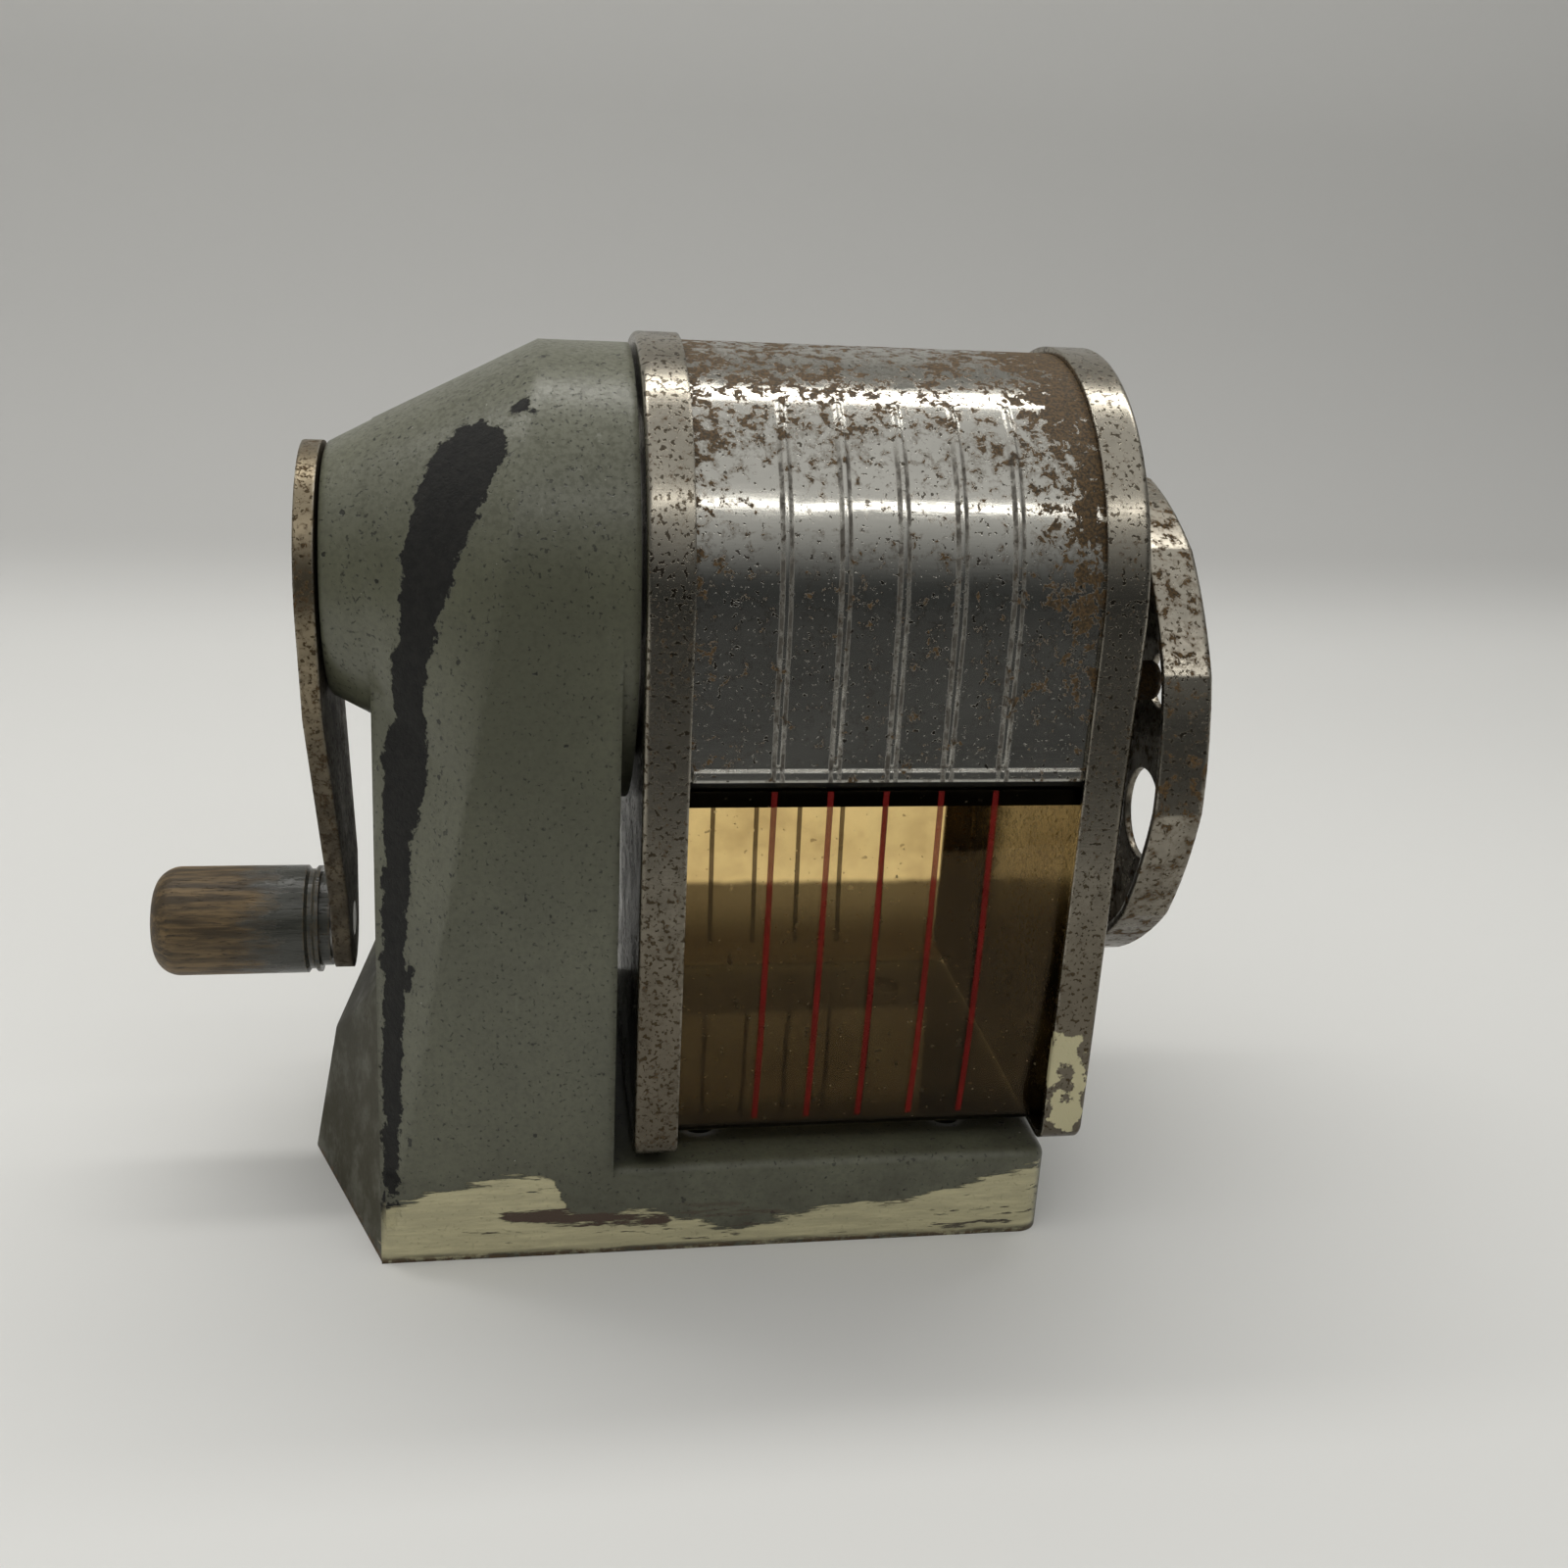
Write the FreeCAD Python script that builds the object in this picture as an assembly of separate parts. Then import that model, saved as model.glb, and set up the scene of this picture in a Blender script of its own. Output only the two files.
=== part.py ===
import FreeCAD, Part
import math
import os

# Hand-crank desk pencil sharpener, in millimetres.
# X runs along the crank shaft from the crank (left) to the size dial (right), Y is across, Z is up.
# The floor is Z = 0, and the middle of the overall length is X = 0.

# Driving sizes: housing
AXIS_Z = 88.5
BODY_HALF_WIDTH = 30.6
BOSS_X = -4.7
BOSS_STEP = 2.0
NOSE_X = -43.6
NOSE_RADIUS = 16.6
NOSE_SLOPE = 0.55
NOSE_LEDGE = 0.15
WALL_X = -37.7
CREASE_FOOT_X = -36.9
CREASE_SLOPE = 0.1725
WALL_TAPER = 0.1835
DECK_END_X = 54.7
DECK_TOP_Z = 13.2
DECK_CORNER = 3.0
DECK_EDGE = 1.6
CAST_WALL = 3.6
CAVITY_TOP_Z = 56.0
PROW_TIP_X = -49.4
PROW_LEAN = 0.18
PROW_BREAK_Z = 18.9
PROW_ROOF_SLOPE = 1.83
PROW_ROUND = 3.0
SCREW_HOLE_RADIUS = 2.3
SCREW_SPACING_X = 36.0
SCREW_SPACING_Y = 40.0
SCREW_BOSS_RADIUS = 5.0

# Driving sizes: crank
SHAFT_RADIUS = 4.0
BUSH_RADIUS = 6.5
BUSH_LENGTH = 26.0
CRANK_THROW = 51.2
ARM_THICKNESS = 2.5
ARM_HUB_RADIUS = 16.8
ARM_END_RADIUS = 7.0
ARM_OFFSET = 1.7
KNOB_RADIUS = 7.7
KNOB_END_X = -69.6
KNOB_COLLAR_RADIUS = 6.7
KNOB_COLLAR = 1.5
KNOB_PIN_RADIUS = 2.4
WASHER_THICKNESS = 0.5

# Driving sizes: cutter head
CUTTER_RADIUS = 8.0
CUTTER_LENGTH = 29.0
CUTTER_TEETH = 14
CUTTER_TWIST = 62.0
CUTTER_TILT = 10.5
POINT_X = 8.6
PINION_TEETH = 12
RING_TEETH = 28
PINION_FACE = 5.0
CUTTER_PIN_RADIUS = 2.0
RING_WALL = 3.6
FLANGE_THICKNESS = 3.0
GEAR_SCREWS = 3
GEAR_SCREW_HEAD_RADIUS = 2.4
CARRIER_HUB_RADIUS = 7.2

# Driving sizes: shavings bin
CAP_RADIUS = 32.1
CAP_BOTTOM_Z = 15.3
CAP_RIM = 5.8
CAP_CORNER = 3.0
BIN_LENGTH = 62.7
SHEET = 0.9
SHELL_EDGE_Z = 69.6
RIDGES = 5
RIDGE_PITCH = 7.25
RIDGE_RADIUS = 0.65
RIDGE_HEIGHT = 0.32
RIDGE_START = 34.0
WINDOW_THICKNESS = 1.0
WINDOW_TOP_Z = 67.9
WINDOW_TUCK = 2.6
WINDOW_HEEL = 1.6
RAIL_TOP_Z = 74.0
RAIL_GRIP = 2.6
RAIL_STRIP = 1.0

# Driving sizes: size dial
HOLE_CIRCLE = 19.5
DIAL_Z = AXIS_Z - HOLE_CIRCLE
DIAL_RADIUS = 35.0
DIAL_SIDES = 12
DIAL_TURN = 5.0
DIAL_CROWN = 0.75
DIAL_GAP = 3.1
DIAL_DEPTH = 6.66
DIAL_SHEET = 1.0
DIAL_HOLE_RADII = (4.1, 3.7, 6.4, 3.2, 3.5, 4.75)
POST_RADIUS = 2.7
GUIDE_BORE = 7.0
GUIDE_WALL = 1.6
PIVOT_RADIUS = 2.5
PIVOT_HEAD = 1.24

# Clearances
RUNNING = 0.05
SLIP = 0.1
GAP = 0.4

os.makedirs("parts", exist_ok=True)

V = FreeCAD.Vector
ALONG_X = V(1, 0, 0)
AXIS_POINT = V(0, 0, AXIS_Z)


def export(name, shape):
    shape.exportStep("parts/" + name + ".step")


def rod(x0, x1, radius, y=0.0, z=AXIS_Z):
    return Part.makeCylinder(radius, x1 - x0, V(x0, y, z), ALONG_X)


def tube(x0, x1, outer, inner, y=0.0, z=AXIS_Z):
    return rod(x0, x1, outer, y, z).cut(rod(x0 - 1, x1 + 1, inner, y, z))


def block(x0, x1, y0, y1, z0, z1):
    return Part.makeBox(x1 - x0, y1 - y0, z1 - z0, V(x0, y0, z0))


def polygon(points):
    return Part.makePolygon(points + [points[0]])


def prism(points, along):
    return Part.Face(polygon(points)).extrude(along)


def fuse_all(shapes):
    return shapes[0].multiFuse(shapes[1:]).removeSplitter()


def arch_face(x, half, bottom, corner):
    """Tombstone outline about the shaft axis, in the plane at x."""
    p = []
    p.append(V(x, -half, AXIS_Z))
    p.append(V(x, -half, bottom + corner))
    p.append(V(x, -half + corner, bottom))
    p.append(V(x, half - corner, bottom))
    p.append(V(x, half, bottom + corner))
    p.append(V(x, half, AXIS_Z))
    bend = corner * (1 - math.sqrt(0.5))
    near = V(x, -half + bend, bottom + bend)
    far = V(x, half - bend, bottom + bend)
    top = V(x, 0, AXIS_Z + half)
    edges = [
        Part.makeLine(p[0], p[1]),
        Part.Arc(p[1], near, p[2]).toShape(),
        Part.makeLine(p[2], p[3]),
        Part.Arc(p[3], far, p[4]).toShape(),
        Part.makeLine(p[4], p[5]),
        Part.Arc(p[5], top, p[0]).toShape(),
    ]
    return Part.Face(Part.Wire(edges))


# Housing: one casting, with a leaning faceted pillar, a round nose, a pointed foot and a long deck
wall_half = BODY_HALF_WIDTH - WALL_TAPER * AXIS_Z
wall_nose = NOSE_RADIUS + NOSE_SLOPE * (WALL_X - NOSE_X)
fall = wall_half * WALL_TAPER
square = 1 + WALL_TAPER ** 2
waist_drop = (math.sqrt(fall ** 2 + square * (wall_nose ** 2 - wall_half ** 2)) - fall) / square
waist = math.atan2(waist_drop, wall_half + WALL_TAPER * waist_drop)

def body_wire(place, reach, waist_bends):
    """Closed outline by polar angle about the shaft: straight foot and sides, two waists, a round top."""

    def spot(angle):
        r = reach(angle)
        z = AXIS_Z + r * math.sin(angle)
        return V(place(z), r * math.cos(angle), z)

    def curve(first, last, steps):
        spline = Part.BSplineCurve()
        spline.interpolate([spot(first + (last - first) * i / steps) for i in range(steps + 1)])
        return spline.toShape()

    far = V(place(0), BODY_HALF_WIDTH, 0)
    near = V(place(0), -BODY_HALF_WIDTH, 0)
    if waist_bends:
        far_waist = curve(-waist, 0, 6)
        near_waist = curve(math.pi, math.pi + waist, 6)
    else:
        far_waist = Part.makeLine(spot(-waist), spot(0))
        near_waist = Part.makeLine(spot(math.pi), spot(math.pi + waist))
    edges = [
        Part.makeLine(near, far),
        Part.makeLine(far, spot(-waist)),
        far_waist,
        curve(0, math.pi, 16),
        near_waist,
        Part.makeLine(spot(math.pi + waist), near),
    ]
    return Part.Wire(edges)


def wall_reach(angle):
    return wall_nose


def tombstone_reach(angle):
    if math.sin(angle) >= -1e-9:
        return BODY_HALF_WIDTH
    return BODY_HALF_WIDTH / abs(math.cos(angle))


def wall_place(z):
    return WALL_X


def crease_place(z):
    return CREASE_FOOT_X + CREASE_SLOPE * z


def boss_place(z):
    return BOSS_X


end_wire = body_wire(wall_place, wall_reach, True)
crease_wire = body_wire(crease_place, tombstone_reach, False)
boss_wire = body_wire(boss_place, tombstone_reach, False)
pillar = Part.makeLoft([end_wire, crease_wire, boss_wire], True, True)
high = AXIS_Z + BODY_HALF_WIDTH + 10
pillar_x = BOSS_X - BOSS_STEP
step = block(pillar_x, BOSS_X + 1, -2 * BODY_HALF_WIDTH, 2 * BODY_HALF_WIDTH, -1, AXIS_Z)
step = step.cut(rod(pillar_x - 1, BOSS_X + 2, BODY_HALF_WIDTH))
pillar = pillar.cut(step)

nose_root = wall_nose - NOSE_LEDGE
nose = Part.makeCone(NOSE_RADIUS, nose_root, WALL_X - NOSE_X, V(NOSE_X, 0, AXIS_Z), ALONG_X)
nose_rim = [e for e in nose.Edges if e.Closed and abs(e.CenterOfMass.x - NOSE_X) < 0.01]
nose = nose.makeFillet(0.8, nose_rim)
nose = nose.fuse(rod(WALL_X, WALL_X + 3, NOSE_RADIUS - 2))

deck = block(CREASE_FOOT_X, DECK_END_X, -BODY_HALF_WIDTH, BODY_HALF_WIDTH, 0, DECK_TOP_Z)
corner_edges = []
for edge in deck.Edges:
    middle = edge.CenterOfMass
    if abs(middle.z - DECK_TOP_Z / 2) < 0.01 and middle.x > DECK_END_X - 1:
        corner_edges.append(edge)
deck = deck.makeFillet(DECK_CORNER, corner_edges)
top_edges = []
for edge in deck.Edges:
    middle = edge.CenterOfMass
    if abs(middle.z - DECK_TOP_Z) < 0.01 and middle.x > CREASE_FOOT_X + 1:
        top_edges.append(edge)
deck = deck.makeFillet(DECK_EDGE, top_edges)

prow_top = PROW_BREAK_Z * 2.2
prow_half = BODY_HALF_WIDTH - 0.4
prow_flare = (WALL_X - PROW_TIP_X) / prow_half


def prow_wire(z, half):
    tip = PROW_TIP_X + PROW_LEAN * z
    wing = tip + prow_flare * half
    back = wing + 4
    return polygon([V(tip, 0, z), V(wing, half, z), V(back, half, z), V(back, -half, z), V(wing, -half, z)])


prow = Part.makeLoft([prow_wire(0, prow_half), prow_wire(prow_top, prow_half * 0.7)], True, True)
ridge = []
for edge in prow.Edges:
    if abs(edge.CenterOfMass.y) < 0.01 and edge.CenterOfMass.x < CREASE_FOOT_X:
        ridge.append(edge)
prow = prow.makeFillet(PROW_ROUND, ridge)
break_x = PROW_TIP_X + PROW_LEAN * PROW_BREAK_Z
roof_run = 40.0
roof_rise = roof_run * PROW_ROOF_SLOPE
roof = prism(
    [
        V(break_x - 20, -50, PROW_BREAK_Z - 20 * PROW_ROOF_SLOPE),
        V(break_x + roof_run, -50, PROW_BREAK_Z + roof_rise),
        V(break_x - 20, -50, PROW_BREAK_Z + roof_rise),
    ],
    V(0, 100, 0),
)
prow = prow.cut(roof)

# Cutter head layout: two cutters lean so their inner lines form the pencil's point
tilt = math.radians(CUTTER_TILT)
apex_x = POINT_X - CUTTER_RADIUS / math.sin(tilt)
ratio = RING_TEETH / PINION_TEETH
pinion_cone = math.atan(math.sin(tilt) / (ratio - math.cos(tilt)))
ring_cone = pinion_cone + tilt
cutter_start = (CUTTER_RADIUS * math.cos(tilt) + GAP / 2) / math.sin(tilt)
cutter_end = cutter_start + CUTTER_LENGTH
NECK = 0.7
pinion_end = cutter_start - NECK
pinion_start = pinion_end - PINION_FACE
ADDENDUM = 0.75
DEDENDUM = 1.0


def gear_wire(teeth, low, high, low_share, high_share, x, turn):
    """Toothed outline about X in the plane at x; shares are tooth widths as parts of the pitch."""
    points = []
    pitch = 2 * math.pi / teeth
    for i in range(teeth):
        middle = turn + i * pitch
        for r, share in ((low, -low_share), (high, -high_share), (high, high_share), (low, low_share)):
            angle = middle + share * pitch / 2
            points.append(V(x, r * math.cos(angle), r * math.sin(angle)))
    return polygon(points)


def pinion_wire(s):
    pitch_r = s * math.tan(pinion_cone)
    module = 2 * pitch_r / PINION_TEETH
    turn = math.pi / PINION_TEETH
    low = pitch_r - DEDENDUM * module
    return gear_wire(PINION_TEETH, low, pitch_r + ADDENDUM * module, 0.52, 0.2, s, turn)


def ring_wire(a):
    pitch_r = a * math.tan(ring_cone)
    module = 2 * pitch_r / RING_TEETH
    turn = math.pi / RING_TEETH
    low = pitch_r - ADDENDUM * module
    return gear_wire(RING_TEETH, low, pitch_r + DEDENDUM * module, 0.78, 0.5, a, turn)


def onto_cutter_axis(shape):
    placed = shape.copy()
    placed.rotate(V(0, 0, 0), V(0, 0, 1), CUTTER_TILT)
    placed.translate(V(apex_x, 0, AXIS_Z))
    return placed


def opposite(shape):
    turned = shape.copy()
    turned.rotate(AXIS_POINT, ALONG_X, 180)
    return turned


def pole(s0, s1, radius):
    return Part.makeCylinder(radius, s1 - s0, V(s0, 0, 0), ALONG_X)


pinion_tip_start = pinion_start * math.tan(pinion_cone) * (1 + 2 * ADDENDUM / PINION_TEETH)
disc_x1 = apex_x + pinion_start * math.cos(tilt) - pinion_tip_start * math.sin(tilt) - GAP
disc_x0 = disc_x1 - 3.6
hub_x0 = disc_x0 - 9.0
pin_start = (disc_x1 - 3.0 - apex_x) / math.cos(tilt)
ring_a0 = pinion_start * math.cos(ring_cone) / math.cos(pinion_cone) - 0.6
ring_tip = ring_a0 * math.tan(ring_cone) * (1 - 2 * ADDENDUM / RING_TEETH)
disc_radius = min((disc_x1 - apex_x) * math.tan(tilt) + CUTTER_PIN_RADIUS + 2.0, ring_tip - GAP / 2)
plate_x0 = apex_x + cutter_end * math.cos(tilt) + CUTTER_RADIUS * math.sin(tilt) + GAP
plate_x1 = plate_x0 + 4.0
pin_end = (plate_x0 + 3.2 - apex_x) / math.cos(tilt)
plate_reach = (plate_x0 + 2.0 - apex_x) * math.tan(tilt)
ring_x1 = apex_x + cutter_start * math.cos(tilt) - CUTTER_RADIUS * math.sin(tilt) - GAP
ring_a1 = ring_x1 - apex_x
ring_root = ring_a1 * math.tan(ring_cone) * (1 + 2 * DEDENDUM / RING_TEETH)
ring_radius = ring_root + RING_WALL
screw_circle = ring_radius + 0.6 + GEAR_SCREW_HEAD_RADIUS
flange_radius = screw_circle + GEAR_SCREW_HEAD_RADIUS + 1.2
flange_x1 = BOSS_X + FLANGE_THICKNESS

# Housing, finished: hollow underneath, bored for the bush and the cutter hub
cavity_half = BODY_HALF_WIDTH - CAST_WALL
cavity_x0 = WALL_X + CAST_WALL
cavity_x1 = pillar_x - CAST_WALL


def cavity_wire(z):
    left_half = min(cavity_half - 0.4, BODY_HALF_WIDTH - WALL_TAPER * z - 0.42 * CAST_WALL)
    corner_x = max(cavity_x0 + 0.4, crease_place(z) + 0.42 * CAST_WALL)
    return polygon([
        V(cavity_x0, -left_half, z),
        V(corner_x, -cavity_half, z),
        V(cavity_x1, -cavity_half, z),
        V(cavity_x1, cavity_half, z),
        V(corner_x, cavity_half, z),
        V(cavity_x0, left_half, z),
    ])


deck_mid_x = (pillar_x + DECK_END_X) / 2
screw_places = []
for sx in (-0.5, 0.5):
    for sy in (-0.5, 0.5):
        screw_places.append((deck_mid_x + sx * SCREW_SPACING_X, sy * SCREW_SPACING_Y))
cavity = Part.makeLoft([cavity_wire(0), cavity_wire(CAVITY_TOP_Z)], True, True)
trench = block(cavity_x0, DECK_END_X - CAST_WALL, -cavity_half, cavity_half, -1, DECK_TOP_Z - CAST_WALL)
for x, y in screw_places:
    trench = trench.cut(Part.makeCylinder(SCREW_BOSS_RADIUS, DECK_TOP_Z, V(x, y, -2)))
rib_half = CAST_WALL / 3
for x in (deck_mid_x - SCREW_SPACING_X / 2, deck_mid_x + SCREW_SPACING_X / 2):
    rib = block(x - rib_half, x + rib_half, -cavity_half, cavity_half, DECK_TOP_Z / 2, DECK_TOP_Z)
    trench = trench.cut(rib)
hollow = [cavity, trench]
hollow.append(rod(NOSE_X - 1, NOSE_X + BUSH_LENGTH, BUSH_RADIUS))
hollow.append(rod(NOSE_X, BOSS_X, SHAFT_RADIUS + 1.0))
hollow.append(rod(hub_x0 - GAP, BOSS_X + 1, CARRIER_HUB_RADIUS + GAP))
for x, y in screw_places:
    hollow.append(Part.makeCylinder(SCREW_HOLE_RADIUS, DECK_TOP_Z + 2, V(x, y, -1)))
SCREW_DEPTH = 7.0
screw_spots = []
for i in range(GEAR_SCREWS):
    angle = math.radians(90 + 360 * i / GEAR_SCREWS)
    screw_spots.append((screw_circle * math.cos(angle), AXIS_Z + screw_circle * math.sin(angle)))
GEAR_SCREW_RADIUS = 1.5
for y, z in screw_spots:
    hollow.append(rod(BOSS_X - SCREW_DEPTH, BOSS_X + 1, GEAR_SCREW_RADIUS, y, z))
housing = pillar.multiFuse([nose, deck, prow]).removeSplitter()
for shape in hollow:
    housing = housing.cut(shape)
export("housing", housing)

bush = tube(NOSE_X, NOSE_X + BUSH_LENGTH, BUSH_RADIUS, SHAFT_RADIUS + RUNNING)
export("shaft_bush", bush)

# Ring gear: a toothed cup whose flange also locates the bin
ring = rod(BOSS_X, ring_x1, ring_radius).fuse(rod(BOSS_X, flange_x1, flange_radius))
teeth_void = Part.makeLoft([ring_wire(ring_a0 - 0.5), ring_wire(ring_a1 + 0.5)], True, True)
teeth_void.translate(V(apex_x, 0, AXIS_Z))
ring = ring.cut(teeth_void)
ring = ring.cut(rod(BOSS_X - 1, apex_x + ring_a0, ring_a0 * math.tan(ring_cone)))
for y, z in screw_spots:
    ring = ring.cut(rod(BOSS_X - 1, flange_x1 + 1, GEAR_SCREW_RADIUS + SLIP, y, z))
export("ring_gear", ring)

SCREW_HEAD = 1.6
screws = []
for y, z in screw_spots:
    screw = rod(BOSS_X - SCREW_DEPTH, flange_x1, GEAR_SCREW_RADIUS, y, z)
    screw = screw.fuse(rod(flange_x1, flange_x1 + SCREW_HEAD, GEAR_SCREW_HEAD_RADIUS, y, z))
    slot_x = flange_x1 + SCREW_HEAD / 2
    slot = block(slot_x, flange_x1 + 3, y - 0.4, y + 0.4, z - 5, z + 5)
    screws.append(screw.cut(slot).removeSplitter())
export("gear_screws", Part.makeCompound(screws))

# Crank: flat arm, shaft, wooden knob on a headed pin
arm_x1 = NOSE_X - WASHER_THICKNESS
arm_x0 = arm_x1 - ARM_THICKNESS
knob_z = AXIS_Z - CRANK_THROW
bend_top = AXIS_Z - ARM_HUB_RADIUS
bend_low = knob_z + ARM_END_RADIUS
arm_top = AXIS_Z + ARM_HUB_RADIUS + 1
arm_low = knob_z - ARM_END_RADIUS - 1
strap = prism(
    [
        V(arm_x0, -30, arm_top),
        V(arm_x1, -30, arm_top),
        V(arm_x1, -30, bend_top),
        V(arm_x1 + ARM_OFFSET, -30, bend_low),
        V(arm_x1 + ARM_OFFSET, -30, arm_low),
        V(arm_x0 + ARM_OFFSET, -30, arm_low),
        V(arm_x0 + ARM_OFFSET, -30, bend_low),
        V(arm_x0, -30, bend_top),
    ],
    V(0, 60, 0),
)
lean = math.asin((ARM_HUB_RADIUS - ARM_END_RADIUS) / CRANK_THROW)
hub_y = ARM_HUB_RADIUS * math.cos(lean)
hub_z = AXIS_Z - ARM_HUB_RADIUS * math.sin(lean)
end_y = ARM_END_RADIUS * math.cos(lean)
end_z = knob_z - ARM_END_RADIUS * math.sin(lean)
drop_x0 = arm_x0 - 1
drop_x1 = arm_x1 + ARM_OFFSET + 1
drop_form = prism(
    [
        V(drop_x0, -hub_y, hub_z),
        V(drop_x0, hub_y, hub_z),
        V(drop_x0, end_y, end_z),
        V(drop_x0, -end_y, end_z),
    ],
    V(drop_x1 - drop_x0, 0, 0),
)
drop_form = fuse_all([
    drop_form,
    rod(drop_x0, drop_x1, ARM_HUB_RADIUS),
    rod(drop_x0, drop_x1, ARM_END_RADIUS, 0, knob_z),
])
SQUARE = SHAFT_RADIUS * 0.68
square_end = block(arm_x0, arm_x1, -SQUARE, SQUARE, AXIS_Z - SQUARE, AXIS_Z + SQUARE)
arm = strap.common(drop_form).cut(square_end)
arm = arm.cut(rod(drop_x0, drop_x1 + 1, KNOB_PIN_RADIUS, 0, knob_z)).removeSplitter()
export("crank_arm", arm)

cross_x = (hub_x0 + disc_x0) / 2
CROSS_PIN_RADIUS = 1.25
cross_low = V(cross_x, 0, AXIS_Z - CARRIER_HUB_RADIUS + 0.2)
cross_pin = Part.makeCylinder(CROSS_PIN_RADIUS, 2 * CARRIER_HUB_RADIUS - 0.4, cross_low)
spigot_radius = min(SHAFT_RADIUS, pin_start * math.sin(tilt) - CUTTER_PIN_RADIUS * math.cos(tilt) - GAP / 2)
shaft = rod(arm_x1, disc_x0, SHAFT_RADIUS).fuse(rod(disc_x0, disc_x1, spigot_radius)).fuse(square_end)
shaft = shaft.cut(cross_pin).removeSplitter()
export("crank_shaft", shaft)
export("carrier_pin", cross_pin)
export("thrust_washer", tube(arm_x1, NOSE_X, NOSE_RADIUS / 2, SHAFT_RADIUS + RUNNING))

knob_face = arm_x0 + ARM_OFFSET
KNOB_WASHER = 0.4
knob_x1 = knob_face - KNOB_WASHER
step_x = knob_x1 - KNOB_COLLAR
groove = KNOB_RADIUS - 0.55
end_flat = KNOB_RADIUS * 0.55
end_round = KNOB_RADIUS * 0.48
bulge = math.sqrt(0.5)
round_mid = V(
    KNOB_END_X + end_round * (1 - bulge),
    0,
    knob_z + end_flat + (KNOB_RADIUS - end_flat) * bulge,
)
knob_points = [
    V(KNOB_END_X + end_round, 0, knob_z + KNOB_RADIUS),
    V(step_x - 1.9, 0, knob_z + KNOB_RADIUS),
    V(step_x - 1.5, 0, knob_z + groove),
    V(step_x - 0.9, 0, knob_z + groove),
    V(step_x - 0.5, 0, knob_z + KNOB_RADIUS - 0.1),
    V(step_x, 0, knob_z + KNOB_RADIUS - 0.1),
    V(step_x, 0, knob_z + KNOB_COLLAR_RADIUS),
    V(knob_x1, 0, knob_z + KNOB_COLLAR_RADIUS),
    V(knob_x1, 0, knob_z),
    V(KNOB_END_X, 0, knob_z),
    V(KNOB_END_X, 0, knob_z + end_flat),
]
knob_edges = [Part.Arc(knob_points[-1], round_mid, knob_points[0]).toShape()]
for i in range(len(knob_points) - 1):
    knob_edges.append(Part.makeLine(knob_points[i], knob_points[i + 1]))
knob = Part.Face(Part.Wire(knob_edges)).revolve(V(0, 0, knob_z), ALONG_X, 360)
PIN_HEAD = 1.1
head_x0 = KNOB_END_X + 0.3
head_x1 = head_x0 + PIN_HEAD
head_radius = KNOB_PIN_RADIUS + 1.0
knob = knob.cut(rod(KNOB_END_X - 1, knob_x1 + 1, KNOB_PIN_RADIUS + RUNNING, 0, knob_z))
knob = knob.cut(rod(KNOB_END_X - 1, head_x1 + GAP, head_radius + GAP, 0, knob_z))
export("knob", knob)
knob_pin = rod(head_x1, knob_face + ARM_THICKNESS, KNOB_PIN_RADIUS, 0, knob_z)
knob_pin = knob_pin.fuse(rod(head_x0, head_x1, head_radius, 0, knob_z))
export("knob_pin", knob_pin)
export("knob_washer", tube(knob_x1, knob_face, KNOB_COLLAR_RADIUS - 1, KNOB_PIN_RADIUS, 0, knob_z))

# Cutter carrier: hub, rear disc, two bars and a front plate that hold the cutter pins
pencil_clear = max(DIAL_HOLE_RADII) + 0.8
bar_half = CUTTER_PIN_RADIUS + 0.8
BAR_DEPTH = 3.4
bar_out = pencil_clear + BAR_DEPTH
rear_out = min(bar_out, math.sqrt((ring_tip - GAP / 2) ** 2 - bar_half ** 2))
bar_step_x = ring_x1 + GAP / 2
carrier_parts = [
    rod(hub_x0, disc_x0, CARRIER_HUB_RADIUS),
    rod(disc_x0, disc_x1, disc_radius),
    rod(plate_x0, plate_x1, bar_out + 1.2),
    block(plate_x0, plate_x1, -plate_reach, plate_reach, AXIS_Z - bar_half * 2, AXIS_Z + bar_half * 2),
]
for side in (-1, 1):
    carrier_parts.append(rod(plate_x0, plate_x1, bar_half * 2, side * plate_reach))
    for x0, x1, out in ((disc_x0, bar_step_x, rear_out), (bar_step_x, plate_x1, bar_out)):
        low = AXIS_Z + min(side * (out - BAR_DEPTH), side * out)
        carrier_parts.append(block(x0, x1, -bar_half, bar_half, low, low + BAR_DEPTH))
carrier = fuse_all(carrier_parts)
carrier = carrier.cut(rod(hub_x0 - 1, disc_x0, SHAFT_RADIUS))
carrier = carrier.cut(rod(disc_x0, disc_x1 + 1, spigot_radius))
carrier = carrier.cut(rod(plate_x0 - 1, plate_x1 + 1, pencil_clear))
cutter_pin = onto_cutter_axis(pole(pin_start, pin_end, CUTTER_PIN_RADIUS))
pins = [cutter_pin, opposite(cutter_pin)]
for pin in pins + [cross_pin]:
    carrier = carrier.cut(pin)
export("cutter_carrier", carrier)
export("cutter_pins", Part.makeCompound(pins))

# Cutters: milled rolls with helical saw teeth, and the pinions pressed against them
TOOTH_DEPTH = 1.1
TOOTH_LAND = 0.35
SECTIONS = 7


def cutter_wire(s, turn):
    points = []
    pitch = 2 * math.pi / CUTTER_TEETH
    for i in range(CUTTER_TEETH):
        angle = turn + i * pitch
        for share, depth in ((0.0, 0.0), (0.12, TOOTH_DEPTH), (0.8, TOOTH_LAND)):
            r = CUTTER_RADIUS - depth
            where = angle + share * pitch
            points.append(V(s, r * math.cos(where), r * math.sin(where)))
    return polygon(points)


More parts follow.
